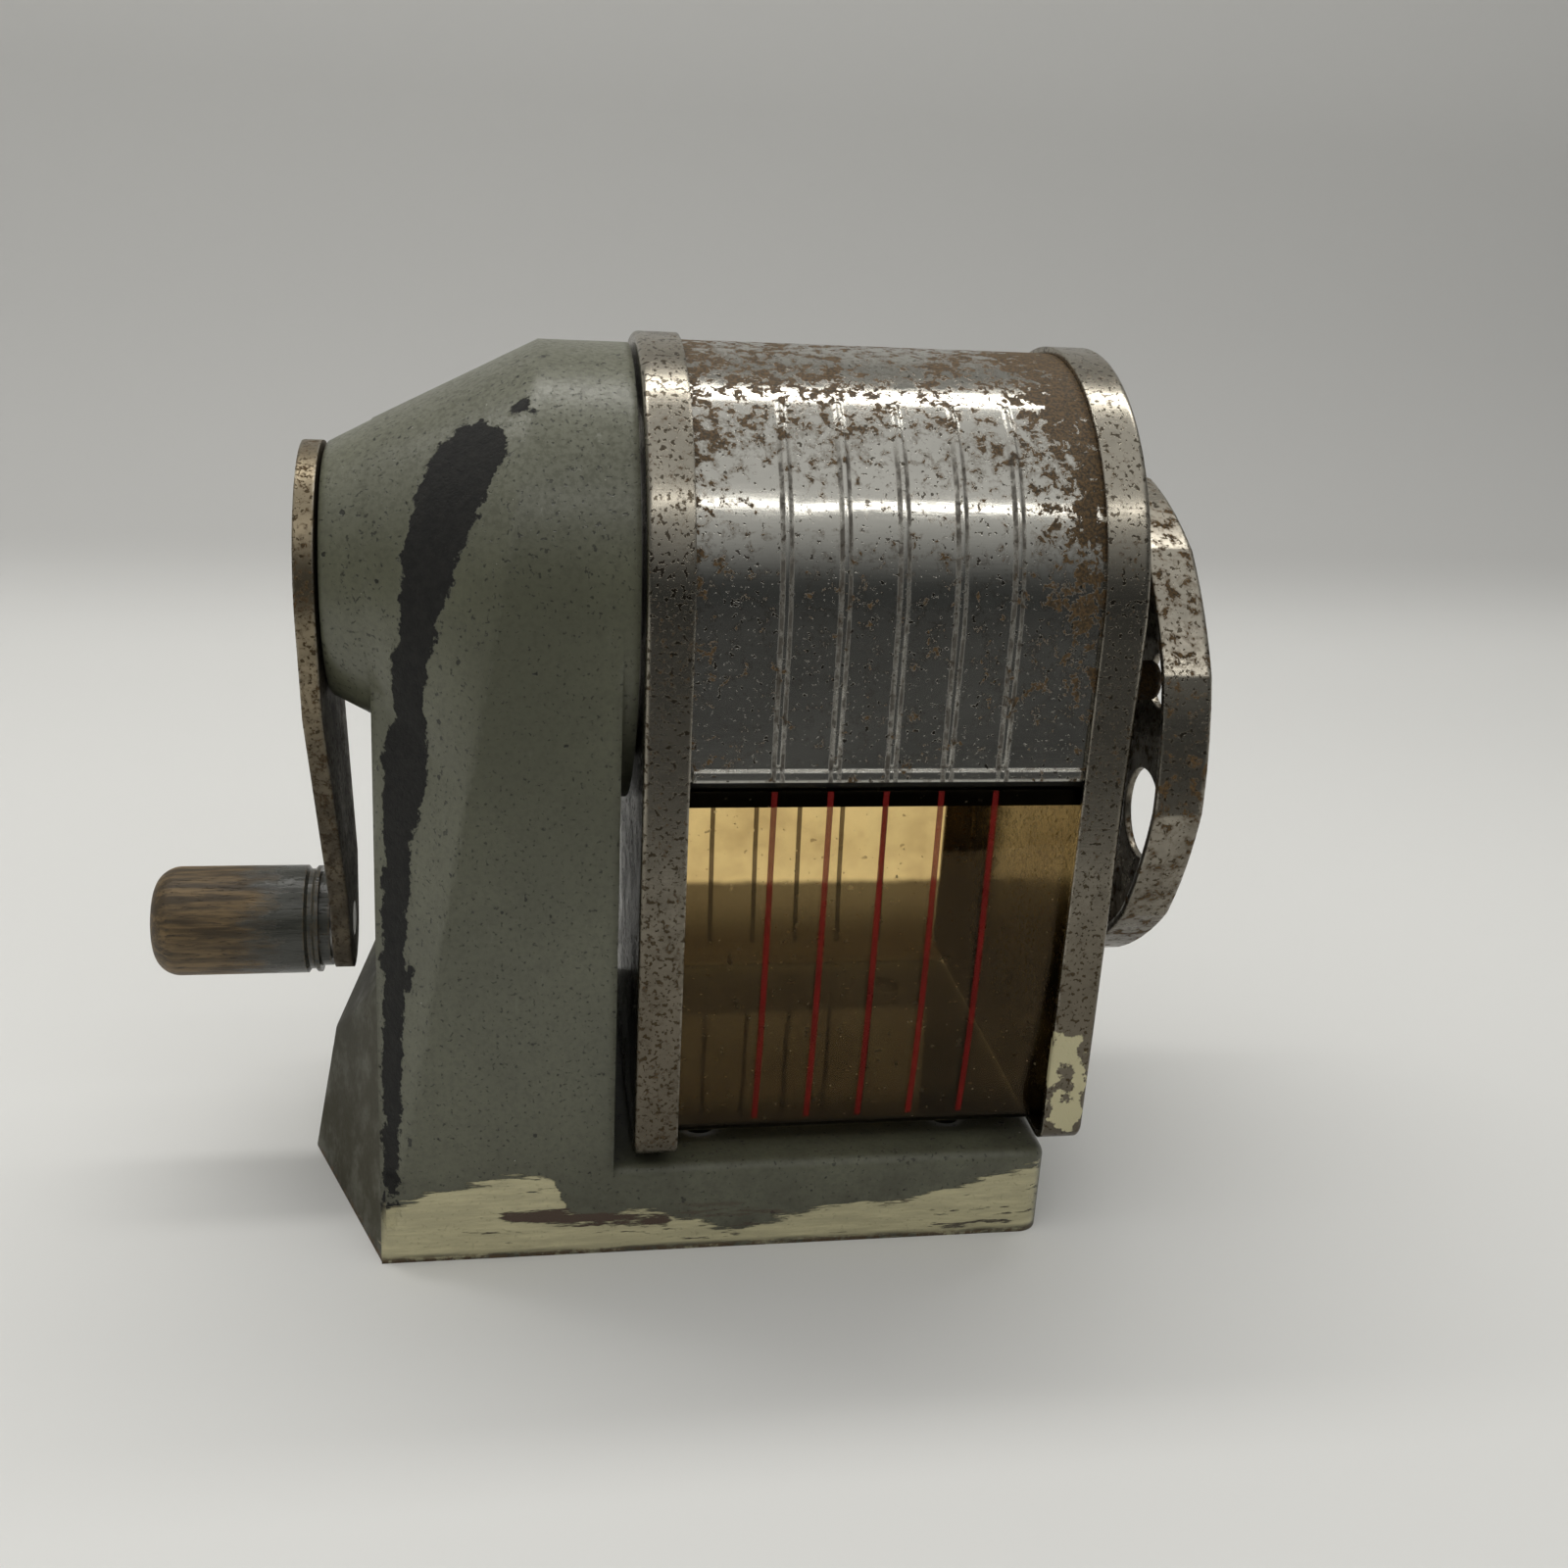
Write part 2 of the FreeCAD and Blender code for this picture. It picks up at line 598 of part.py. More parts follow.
wires = []
for i in range(SECTIONS):
    part_way = i / (SECTIONS - 1)
    turn = math.radians(part_way * CUTTER_TWIST)
    wires.append(cutter_wire(cutter_start + part_way * CUTTER_LENGTH, turn))
roll = Part.makeLoft(wires, True, True)
neck_radius = CUTTER_PIN_RADIUS + 1.4
roll = roll.fuse(pole(pinion_end, cutter_start + 1, neck_radius))
roll = roll.cut(pole(pinion_end - 1, cutter_end + 1, CUTTER_PIN_RADIUS + RUNNING))
cutter = onto_cutter_axis(roll)
pinion = Part.makeLoft([pinion_wire(pinion_start), pinion_wire(pinion_end)], True, True)
pinion = pinion.cut(pole(pinion_start - 1, pinion_end + 1, CUTTER_PIN_RADIUS + RUNNING))
pinion = onto_cutter_axis(pinion)
export("cutter_a", cutter)
export("cutter_b", opposite(cutter))
export("pinion_a", pinion)
export("pinion_b", opposite(pinion))

# Shavings bin: two pressed caps, a ridged shell and a curved window
rear_x0 = BOSS_X + 0.6
front_x1 = rear_x0 + BIN_LENGTH
inner_half = CAP_RADIUS - SHEET
inner_bottom = CAP_BOTTOM_Z + SHEET


def cap(x_plate, x_rim):
    """Pressed tombstone lid with its plate at x_plate and its open rim at x_rim."""
    way = 1 if x_rim > x_plate else -1
    outer = arch_face(x_plate, CAP_RADIUS, CAP_BOTTOM_Z, CAP_CORNER).extrude(V(x_rim - x_plate, 0, 0))
    rounded = []
    for edge in outer.Edges:
        if abs(edge.BoundBox.XMin - x_plate) < 0.01 and abs(edge.BoundBox.XMax - x_plate) < 0.01:
            rounded.append(edge)
    outer = outer.makeFillet(SHEET * 0.9, rounded)
    inner_x = x_plate + way * SHEET
    inner = arch_face(inner_x, inner_half, inner_bottom, CAP_CORNER - SHEET)
    return outer.cut(inner.extrude(V(x_rim - inner_x + way, 0, 0)))


rear_cap = cap(rear_x0, rear_x0 + CAP_RIM)
rear_cap = rear_cap.cut(rod(rear_x0 - 1, rear_x0 + SHEET + 1, flange_radius + SLIP))
export("rear_cap", rear_cap)

guide_outer = GUIDE_BORE + GUIDE_WALL
post_angle = math.radians(360 / len(DIAL_HOLE_RADII))
post_y = -HOLE_CIRCLE * math.sin(post_angle)
post_z = DIAL_Z + HOLE_CIRCLE * math.cos(post_angle)
plate_in = front_x1 - SHEET
post_tail = POST_RADIUS - 0.9
pivot_body = PIVOT_RADIUS + 1.5
front_cap = cap(front_x1, front_x1 - CAP_RIM)
front_cap = front_cap.cut(rod(plate_in - 1, front_x1 + 1, guide_outer))
front_cap = front_cap.cut(rod(plate_in - 1, front_x1 + 1, post_tail, post_y, post_z))
front_cap = front_cap.cut(rod(plate_in - 1, front_x1 + 1, pivot_body, 0, DIAL_Z))
export("front_cap", front_cap)

shell_x0 = rear_x0 + SHEET
shell_x1 = plate_in
shell_in = inner_half - SHEET
arch_out = rod(shell_x0, shell_x1, inner_half)
arch_out = arch_out.fuse(block(shell_x0, shell_x1, -inner_half, inner_half, SHELL_EDGE_Z, AXIS_Z))
arch_in = rod(shell_x0 - 1, shell_x1 + 1, shell_in)
arch_in = arch_in.fuse(block(shell_x0 - 1, shell_x1 + 1, -shell_in, shell_in, 0, AXIS_Z))
below = block(shell_x0 - 1, shell_x1 + 1, -CAP_RADIUS, CAP_RADIUS, 0, SHELL_EDGE_Z)
shell = arch_out.removeSplitter().cut(arch_in).cut(below)
HEM = 0.45
hem_x0 = rear_x0 + CAP_RIM + GAP
hem_x1 = front_x1 - CAP_RIM - GAP
extras = []
bin_mid = (rear_x0 + front_x1) / 2
ridge_r = inner_half + RIDGE_HEIGHT - RIDGE_RADIUS
for side in (-1, 1):
    hem_in = side * inner_half
    hem_out = side * (inner_half + HEM)
    hem_y = sorted([hem_in, hem_out])
    extras.append(block(hem_x0, hem_x1, hem_y[0], hem_y[1], SHELL_EDGE_Z, SHELL_EDGE_Z + 1.5))
    for i in range(RIDGES):
        x = bin_mid + (i - (RIDGES - 1) / 2) * RIDGE_PITCH
        start = math.radians(RIDGE_START)
        spot = V(x, side * ridge_r * math.sin(start), AXIS_Z + ridge_r * math.cos(start))
        tangent = V(0, side * math.cos(start), -math.sin(start))
        disc = Part.Face(Part.Wire(Part.makeCircle(RIDGE_RADIUS, spot, tangent)))
        bead = disc.revolve(AXIS_POINT, V(-side, 0, 0), 90 - RIDGE_START)
        leg_foot = V(x, side * ridge_r, SHELL_EDGE_Z + 2)
        leg = Part.makeCylinder(RIDGE_RADIUS, AXIS_Z - SHELL_EDGE_Z - 2, leg_foot)
        extras.append(bead.fuse([leg, Part.makeSphere(RIDGE_RADIUS, spot)]))
shell = shell.multiFuse(extras)
shell = shell.cut(arch_in).removeSplitter()
export("bin_shell", shell)

RAIL = 0.5
window_half = shell_in - RAIL
tuck_z = (WINDOW_TOP_Z + inner_bottom) / 2 + 7
foot_half = window_half - WINDOW_TUCK
foot_z = inner_bottom + WINDOW_HEEL
belly = V(shell_x0, window_half - WINDOW_TUCK * 0.2, (tuck_z + foot_z) / 2 + 1.5)
right = [
    V(shell_x0, window_half, WINDOW_TOP_Z),
    V(shell_x0, window_half, tuck_z),
    V(shell_x0, foot_half, foot_z),
    V(shell_x0, foot_half - WINDOW_HEEL, inner_bottom),
]
bend = WINDOW_HEEL * (1 - math.sqrt(0.5))
curl = V(shell_x0, foot_half - bend, inner_bottom + bend)


def mirror(v):
    return V(v.x, -v.y, v.z)


window_edges = [
    Part.makeLine(right[0], right[1]),
    Part.Arc(right[1], belly, right[2]).toShape(),
    Part.Arc(right[2], curl, right[3]).toShape(),
    Part.makeLine(right[3], mirror(right[3])),
    Part.Arc(mirror(right[3]), mirror(curl), mirror(right[2])).toShape(),
    Part.Arc(mirror(right[2]), mirror(belly), mirror(right[1])).toShape(),
    Part.makeLine(mirror(right[1]), mirror(right[0])),
    Part.makeLine(mirror(right[0]), right[0]),
]
outline = Part.Wire(window_edges)
bin_inside = V(shell_x1 - shell_x0, 0, 0)
outer_form = Part.Face(outline).extrude(bin_inside)
inner_form = Part.Face(outline.makeOffset2D(-WINDOW_THICKNESS)).extrude(bin_inside)
window = outer_form.cut(inner_form)
lid_half = window_half - WINDOW_THICKNESS
lid_z = WINDOW_TOP_Z - 2 * WINDOW_THICKNESS
lid = block(shell_x0 - 1, shell_x1 + 1, -lid_half, lid_half, lid_z, WINDOW_TOP_Z + 1)
window = window.cut(lid).removeSplitter()
lip_edges = []
for edge in window.Edges:
    middle = edge.CenterOfMass
    if abs(middle.z - WINDOW_TOP_Z) < 0.01 and abs(abs(middle.y) - window_half) < 0.01:
        lip_edges.append(edge)
window = window.makeFillet(WINDOW_THICKNESS * 0.45, lip_edges)
export("window", window)

rails = []
for side in (-1, 1):
    behind = sorted([side * (lid_half - RAIL_STRIP), side * lid_half])
    beside = sorted([side * lid_half, side * shell_in])
    strip = block(shell_x0, shell_x1, behind[0], behind[1], WINDOW_TOP_Z - RAIL_GRIP, RAIL_TOP_Z)
    filler = block(shell_x0, shell_x1, beside[0], beside[1], SHELL_EDGE_Z + 0.6, RAIL_TOP_Z)
    rails.append(strip.fuse(filler).removeSplitter())
export("window_rails", Part.makeCompound(rails))

# Size dial: a twelve-sided pressed cup with six pencil holes, on a shouldered pivot
dial_x0 = front_x1 + DIAL_GAP
dial_x1 = dial_x0 + DIAL_DEPTH
dial_in = dial_x1 - DIAL_SHEET


def dial_prism(radius, x0, x1):
    """Twelve slightly crowned sides about the pivot, from x0 to x1."""

    def spot(step, reach):
        angle = math.radians(DIAL_TURN + 360 * step / DIAL_SIDES)
        return V(x0, -reach * math.sin(angle), DIAL_Z + reach * math.cos(angle))

    crown = radius * math.cos(math.pi / DIAL_SIDES) + DIAL_CROWN
    edges = []
    for i in range(DIAL_SIDES):
        edges.append(Part.Arc(spot(i, radius), spot(i + 0.5, crown), spot(i + 1, radius)).toShape())
    return Part.Face(Part.Wire(edges)).extrude(V(x1 - x0, 0, 0))


cup = dial_prism(DIAL_RADIUS, dial_x0, dial_x1)
face_edges = []
for edge in cup.Edges:
    if edge.BoundBox.XMin > dial_x1 - 0.01:
        face_edges.append(edge)
cup = cup.makeFillet(DIAL_SHEET * 0.9, face_edges)
dial = cup.cut(dial_prism(DIAL_RADIUS - DIAL_SHEET / math.cos(math.pi / DIAL_SIDES), dial_x0 - 1, dial_in))
for i in range(len(DIAL_HOLE_RADII)):
    angle = math.radians(360 * i / len(DIAL_HOLE_RADII))
    y = -HOLE_CIRCLE * math.sin(angle)
    z = DIAL_Z + HOLE_CIRCLE * math.cos(angle)
    dial = dial.cut(rod(dial_in - 1, dial_x1 + 1, DIAL_HOLE_RADII[i], y, z))
dial = dial.cut(rod(dial_in - 1, dial_x1 + 1, PIVOT_RADIUS + RUNNING, 0, DIAL_Z))
export("dial", dial)

shoulder_x = dial_in - GAP
guide_flange = GUIDE_BORE + GUIDE_WALL + 2.0
guide = rod(plate_in, shoulder_x, guide_outer).fuse(rod(plate_in - 1.2, plate_in, guide_flange))
guide = guide.cut(rod(plate_in - 2, dial_x1, GUIDE_BORE)).removeSplitter()
export("pencil_guide", guide)

post = rod(front_x1, shoulder_x, POST_RADIUS, post_y, post_z)
nose_edges = []
for edge in post.Edges:
    if edge.Closed and abs(edge.CenterOfMass.x - shoulder_x) < 0.01:
        nose_edges.append(edge)
post = post.makeFillet(POST_RADIUS * 0.4, nose_edges)
post = post.fuse(rod(plate_in, front_x1, post_tail, post_y, post_z))
post = post.fuse(rod(plate_in - 1.2, plate_in, POST_RADIUS, post_y, post_z)).removeSplitter()
export("index_post", post)

pivot = rod(plate_in, shoulder_x, pivot_body, 0, DIAL_Z)
pivot = pivot.fuse(rod(plate_in - 1.2, plate_in, pivot_body + 2, 0, DIAL_Z))
pivot = pivot.fuse(rod(shoulder_x, dial_x1 + RUNNING, PIVOT_RADIUS, 0, DIAL_Z))
head = rod(dial_x1 + RUNNING, dial_x1 + PIVOT_HEAD, pivot_body + 1, 0, DIAL_Z)
head_edges = []
for edge in head.Edges:
    if edge.Closed and abs(edge.CenterOfMass.x - dial_x1 - PIVOT_HEAD) < 0.01:
        head_edges.append(edge)
pivot = pivot.fuse(head.makeFillet(PIVOT_HEAD * 0.7, head_edges)).removeSplitter()
export("dial_pivot", pivot)
export("dial_washer", tube(shoulder_x, dial_in, pivot_body + 1.5, PIVOT_RADIUS + RUNNING, 0, DIAL_Z))
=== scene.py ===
import math

import bpy
from mathutils import Matrix, Vector


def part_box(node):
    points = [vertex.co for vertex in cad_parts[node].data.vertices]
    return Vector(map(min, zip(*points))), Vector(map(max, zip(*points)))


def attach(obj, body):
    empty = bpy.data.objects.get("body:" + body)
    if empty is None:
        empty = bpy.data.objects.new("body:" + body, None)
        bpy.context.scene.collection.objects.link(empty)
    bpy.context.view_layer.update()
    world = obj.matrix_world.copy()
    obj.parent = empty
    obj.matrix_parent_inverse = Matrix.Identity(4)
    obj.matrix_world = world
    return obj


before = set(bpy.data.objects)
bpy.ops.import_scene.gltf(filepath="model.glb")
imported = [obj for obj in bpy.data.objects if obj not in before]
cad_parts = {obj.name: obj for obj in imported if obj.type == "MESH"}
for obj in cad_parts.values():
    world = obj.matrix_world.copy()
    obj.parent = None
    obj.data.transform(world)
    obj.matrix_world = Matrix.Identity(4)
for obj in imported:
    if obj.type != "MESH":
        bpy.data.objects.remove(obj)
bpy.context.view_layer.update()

bl_info = {
    "name": "Desk pencil sharpener",
    "version": (1, 0, 0),
    "blender": (4, 5, 0),
    "location": "3D View > Sidebar > Sharpener",
    "description": "Paints and plates a worn hand-crank pencil sharpener and sets it on a pale sweep",
    "category": "Object",
}

MM = 0.001
ORIGIN = (0.0, 0.0, 0.0)

# Dirt and wear that the finishes mix in, with some painted shade and painted highlight
# Pale wear, also used as a painted highlight high on the casting
PALE_WEAR_AND_SHEEN = (0.33, 0.335, 0.28, 1.0)
PALE_SPECK = (0.45, 0.44, 0.38, 1.0)
LOW_GRIME = (0.052, 0.047, 0.032, 1.0)
FOOT_GRIME = (0.042, 0.037, 0.019, 1.0)
RUST_HALO = (0.115, 0.082, 0.050, 1.0)
# Painted shade for the lower part of the plated caps and the dial
PLATE_LOW_SHADE = (0.050, 0.037, 0.021, 1.0)
EDGE_SHINE = (0.62, 0.58, 0.50, 1.0)
# Dirt and painted shade beside the shell's ridges
RIDGE_SOIL_AND_SHADE = (0.055, 0.045, 0.032, 1.0)
# Darker brown-black for the crank arm
ARM_DARK = (0.040, 0.029, 0.017, 1.0)
WINDOW_SPECK = (0.10, 0.07, 0.04, 1.0)
AMBER_SHEEN = (1.0, 0.74, 0.44, 1.0)
WORN_LINE = (0.07, 0.025, 0.015, 1.0)
STRIP_DUST = (0.07, 0.06, 0.045, 1.0)
PAPER_CLOUD = (0.55, 0.55, 0.54, 1.0)


def colour_property(name, description, default):
    return bpy.props.FloatVectorProperty(
        name=name, description=description, default=default, subtype="COLOR", size=3, min=0.0, max=1.0
    )


def length_property(name, description, default):
    return bpy.props.FloatProperty(
        name=name, description=description, default=default, subtype="DISTANCE", unit="LENGTH", precision=5
    )


class SharpenerColours(bpy.types.PropertyGroup):
    """Colours of the paints, metals, wood and plastic."""

    paint: colour_property("Body paint", "Sage green enamel on the casting", (0.117, 0.119, 0.080))
    bare_casting: colour_property("Bare casting", "Dark metal under the enamel", (0.0055, 0.0052, 0.0042))
    spilt_paint: colour_property("Spilt paint", "Cream paint smeared along the foot", (0.60, 0.55, 0.335))
    old_stain: colour_property("Old stain", "Brown stain under the cream paint", (0.075, 0.045, 0.028))
    plating: colour_property("Plating", "Bright nickel plate", (0.60, 0.585, 0.53))
    dull_plating: colour_property("Dull plating", "Worn plate on the caps and the dial", (0.44, 0.405, 0.335))
    arm_plating: colour_property("Arm plating", "Browned plate on the crank arm", (0.30, 0.25, 0.17))
    rust: colour_property("Rust", "Brown rust", (0.115, 0.066, 0.022))
    dark_rust: colour_property("Dark rust", "Old rust in the pits", (0.040, 0.026, 0.010))
    steel: colour_property("Steel", "Plain turned steel", (0.36, 0.35, 0.33))
    tool_steel: colour_property("Tool steel", "Hardened cutter steel", (0.20, 0.195, 0.19))
    zinc: colour_property("Cast zinc", "Die cast carrier", (0.30, 0.30, 0.29))
    bronze: colour_property("Bronze", "Bearing bronze", (0.36, 0.22, 0.10))
    wood: colour_property("Wood", "Bare turned wood of the knob", (0.126, 0.083, 0.036))
    wood_line: colour_property("Wood line", "Dark grain lines in the wood", (0.050, 0.034, 0.016))
    knob_paint: colour_property("Knob paint", "Grey lacquer left on the knob", (0.064, 0.065, 0.054))
    amber: colour_property("Amber", "Clear amber plastic", (0.95, 0.81, 0.53))
    # Darker amber for the window low down and on the far side
    amber_dark: colour_property("Amber grime", "Plastic browned by graphite", (0.034, 0.023, 0.010))
    amber_film: colour_property("Amber film", "Thin dirty film on the near side", (0.52, 0.39, 0.23))
    red_line: colour_property("Red line", "Red paint of the window lines", (0.29, 0.010, 0.008))
    # Painted shade: kept near black for the shadowed gap under the shell
    rail_shade: colour_property("Gasket", "Dark strip above the window", (0.018, 0.017, 0.015))
    floor: colour_property("Floor", "Pale paper sweep near the object", (0.82, 0.82, 0.80))
    # Painted shade: the upright paper is given a darker grey than the floor
    backdrop: colour_property("Backdrop", "Pale paper sweep at the top", (0.51, 0.508, 0.496))


class SharpenerSizes(bpy.types.PropertyGroup):
    """Sizes of the painted lines and of the stage."""

    lines: bpy.props.IntProperty(name="Lines", description="Red lines on each side", default=5, min=1, max=12)
    line_pitch: length_property("Line pitch", "Distance between red lines", 7.25 * MM)
    line_width: length_property("Line width", "Width of a red line", 0.78 * MM)
    line_height: length_property("Line height", "Thickness of the red paint", 0.05 * MM)
    line_top: length_property("Line top", "Height where the lines begin", 67.7 * MM)
    line_foot: length_property("Line foot", "Height where the lines end", 18.6 * MM)
    sweep_start: length_property("Sweep start", "Where the paper begins to rise", 0.25)
    sweep_radius: length_property("Sweep radius", "Radius of the bend in the paper", 0.16)
    sweep_height: length_property("Sweep height", "Height of the paper", 1.3)
    sweep_width: length_property("Sweep width", "Width of the paper", 5.0)
    wall_radius: length_property("Wall radius", "Radius of the round wall", 2.45)
    wall_height: length_property("Wall height", "Height of the round wall", 3.0)


def colours():
    return bpy.context.scene.sharpener_colours


def sizes():
    return bpy.context.scene.sharpener_sizes


def shade(colour, strength=1.0):
    """An opaque colour, made lighter or darker by a factor."""
    return (*(min(1.0, strength * colour[i]) for i in range(3)), 1.0)


# Node helpers


def add(tree, kind, **settings):
    made = tree.nodes.new(kind)
    for key, value in settings.items():
        setattr(made, key, value)
    return made


def feed(tree, socket, value):
    """Links a socket to an input, or sets the input to a plain value."""
    if isinstance(value, bpy.types.NodeSocket):
        tree.links.new(value, socket)
    else:
        socket.default_value = value


def sums(tree, operation, *values, clamp=False):
    made = add(tree, "ShaderNodeMath", operation=operation, use_clamp=clamp)
    for i, value in enumerate(values):
        feed(tree, made.inputs[i], value)
    return made.outputs[0]


def times(tree, first, *others):
    """Product of two or more values."""
    for other in others:
        first = sums(tree, "MULTIPLY", first, other)
    return first


def raised(tree, base, value, reach, clamp=False):
    """A base, raised by a value times its reach."""
    return sums(tree, "MULTIPLY_ADD", value, reach, base, clamp=clamp)


def rest_of(tree, value, clamp=False):
    """One less the value."""
    return sums(tree, "SUBTRACT", 1.0, value, clamp=clamp)


def shake(tree, base, noise, reach, middle=0.5):
    """Moves a value to and fro by a noise, about the noise's middle."""
    return raised(tree, base, sums(tree, "SUBTRACT", noise, middle), reach)


def vectors(tree, operation, *values):
    made = add(tree, "ShaderNodeVectorMath", operation=operation)
    for i, value in enumerate(values):
        feed(tree, made.inputs[i], value)
    return made.outputs["Value" if operation in ("DOT_PRODUCT", "LENGTH") else "Vector"]


def blend(tree, amount, first, second):
    made = add(tree, "ShaderNodeMix", data_type="RGBA", blend_type="MIX", clamp_factor=True)
    feed(tree, made.inputs[0], amount)
    feed(tree, made.inputs[6], first)
    feed(tree, made.inputs[7], second)
    return made.outputs[2]


def between(tree, value, low, high, start=0.0, end=1.0, how="SMOOTHSTEP"):
    """A smooth step of value: start at low, end at high."""
    made = add(tree, "ShaderNodeMapRange", interpolation_type=how)
    given = {"Value": value, "From Min": low, "From Max": high, "To Min": start, "To Max": end}
    for label, amount in given.items():
        feed(tree, made.inputs[label], amount)
    return made.outputs["Result"]


def ramp(tree, value, low, high, start, end):
    """A straight ramp of value: start at low, end at high."""
    return between(tree, value, low, high, start, end, "LINEAR")


def grain(tree, position, scale, detail, rough, bend=0.0):
    made = add(tree, "ShaderNodeTexNoise")
    given = {"Vector": position, "Scale": scale, "Detail": detail, "Roughness": rough, "Distortion": bend}
    for label, value in given.items():
        feed(tree, made.inputs[label], value)
    return made.outputs["Fac"]


def shared_group(name, inputs, outputs, fill):
    """A shader group, built once; fill links its outputs to what it is given.

    The default of an input also gives its kind: a number, a vector of three or a colour of four.
    """
    tree = bpy.data.node_groups.get(name)
    if tree is None:
        tree = bpy.data.node_groups.new(name, "ShaderNodeTree")
        for label, default in inputs.items():
            kind = {1: "Float", 3: "Vector", 4: "Color"}[len(default) if isinstance(default, tuple) else 1]
            made = tree.interface.new_socket(label, in_out="INPUT", socket_type="NodeSocket" + kind)
            made.default_value = default
        for label, kind in outputs.items():
            tree.interface.new_socket(label, in_out="OUTPUT", socket_type="NodeSocket" + kind)
        fill(tree, add(tree, "NodeGroupInput").outputs, add(tree, "NodeGroupOutput").inputs)
    return tree


def place_group(tree, group, **values):
    made = add(tree, "ShaderNodeGroup", node_tree=group)
    for label, value in values.items():
        feed(tree, made.inputs[label.replace("_", " ")], value)
    return made.outputs


# Effects that several finishes share


def fleck_group():
    """Small separate flecks: a fine noise cut at a level that sets how much they cover."""

    def fill(tree, given, out):
        fine = grain(tree, given["Position"], given["Scale"], 2.0, 0.5)
        low = sums(tree, "SUBTRACT", given["Level"], given["Softness"])
        high = sums(tree, "ADD", given["Level"], given["Softness"])
        feed(tree, out["Mask"], between(tree, fine, low, high))

    inputs = {"Position": ORIGIN, "Scale": 0.5, "Level": 0.7, "Softness": 0.02}
    return shared_group("flecks", inputs, {"Mask": "Float"}, fill)


def rust_group():
    """Rust in pits and blooms: coarse patches raise how many fine pits break through."""

    def fill(tree, given, out):
        where = given["Position"]
        patch = grain(tree, where, given["Patch Scale"], 3.0, 0.6)
        pits = grain(tree, where, given["Pit Scale"], 4.0, 0.62, 0.4)
        crumbs = grain(tree, where, times(tree, given["Pit Scale"], 4.2), 2.0, 0.6)
        lifted = raised(tree, times(tree, pits, 0.95), patch, 0.32)
        lifted = raised(tree, lifted, crumbs, 0.18)
        level = raised(tree, 1.02, given["Amount"], -0.355)
        mask = between(tree, lifted, level, sums(tree, "ADD", level, 0.035))
        halo_start = sums(tree, "SUBTRACT", level, 0.12)
        halo_end = sums(tree, "ADD", level, 0.02)
        tone = between(tree, crumbs, 0.38, 0.62)
        feed(tree, out["Mask"], mask)
        feed(tree, out["Colour"], blend(tree, tone, given["Dark Rust"], given["Rust"]))
        feed(tree, out["Height"], times(tree, mask, sums(tree, "SUBTRACT", crumbs, 0.25)))
        feed(tree, out["Haze"], between(tree, lifted, halo_start, halo_end))

    c = colours()
    inputs = {"Position": ORIGIN, "Amount": 0.5, "Pit Scale": 0.9, "Patch Scale": 0.12}
    inputs.update({"Rust": shade(c.rust), "Dark Rust": shade(c.dark_rust)})
    outputs = {"Mask": "Float", "Colour": "Color", "Height": "Float", "Haze": "Float"}
    return shared_group("rust_bloom", inputs, outputs, fill)


def edge_group():
    """Rubbed edges: where a rounded normal leaves the true one, broken up by noise."""

    def fill(tree, given, out):
        rounded = add(tree, "ShaderNodeBevel", samples=6)
        feed(tree, rounded.inputs["Radius"], given["Radius"])
        shape = add(tree, "ShaderNodeNewGeometry")
        same = vectors(tree, "DOT_PRODUCT", rounded.outputs["Normal"], shape.outputs["Normal"])
        edge = between(tree, same, 0.995, 0.93)
        rag = grain(tree, given["Position"], 0.7, 4.0, 0.65)
        cut = raised(tree, 0.33, given["Break"], 0.3)
        left = between(tree, rag, cut, sums(tree, "ADD", cut, 0.1))
        feed(tree, out["Mask"], times(tree, edge, left))

    inputs = {"Position": ORIGIN, "Radius": 0.6 * MM, "Break": 0.5}
    return shared_group("edge_rub", inputs, {"Mask": "Float"}, fill)


def stroke_group():
    """Distance from a straight stroke between two points, in millimetres, less its half width."""

    def fill(tree, given, out):
        from_start = vectors(tree, "SUBTRACT", given["Position"], given["Start"])
        run = vectors(tree, "SUBTRACT", given["End"], given["Start"])
        reach = vectors(tree, "DOT_PRODUCT", from_start, run)
        along = sums(tree, "DIVIDE", reach, vectors(tree, "DOT_PRODUCT", run, run), clamp=True)
        scaled = add(tree, "ShaderNodeVectorMath", operation="SCALE")
        feed(tree, scaled.inputs[0], run)
        feed(tree, scaled.inputs["Scale"], along)
        away = vectors(tree, "LENGTH", vectors(tree, "SUBTRACT", from_start, scaled.outputs["Vector"]))
        half = ramp(tree, along, 0.0, 1.0, given["Start Half"], given["End Half"])
        feed(tree, out["Distance"], sums(tree, "SUBTRACT", away, half))

    inputs = {"Position": ORIGIN, "Start": ORIGIN, "End": ORIGIN, "Start Half": 2.0, "End Half": 2.0}
    return shared_group("stroke", inputs, {"Distance": "Float"}, fill)


# Materials


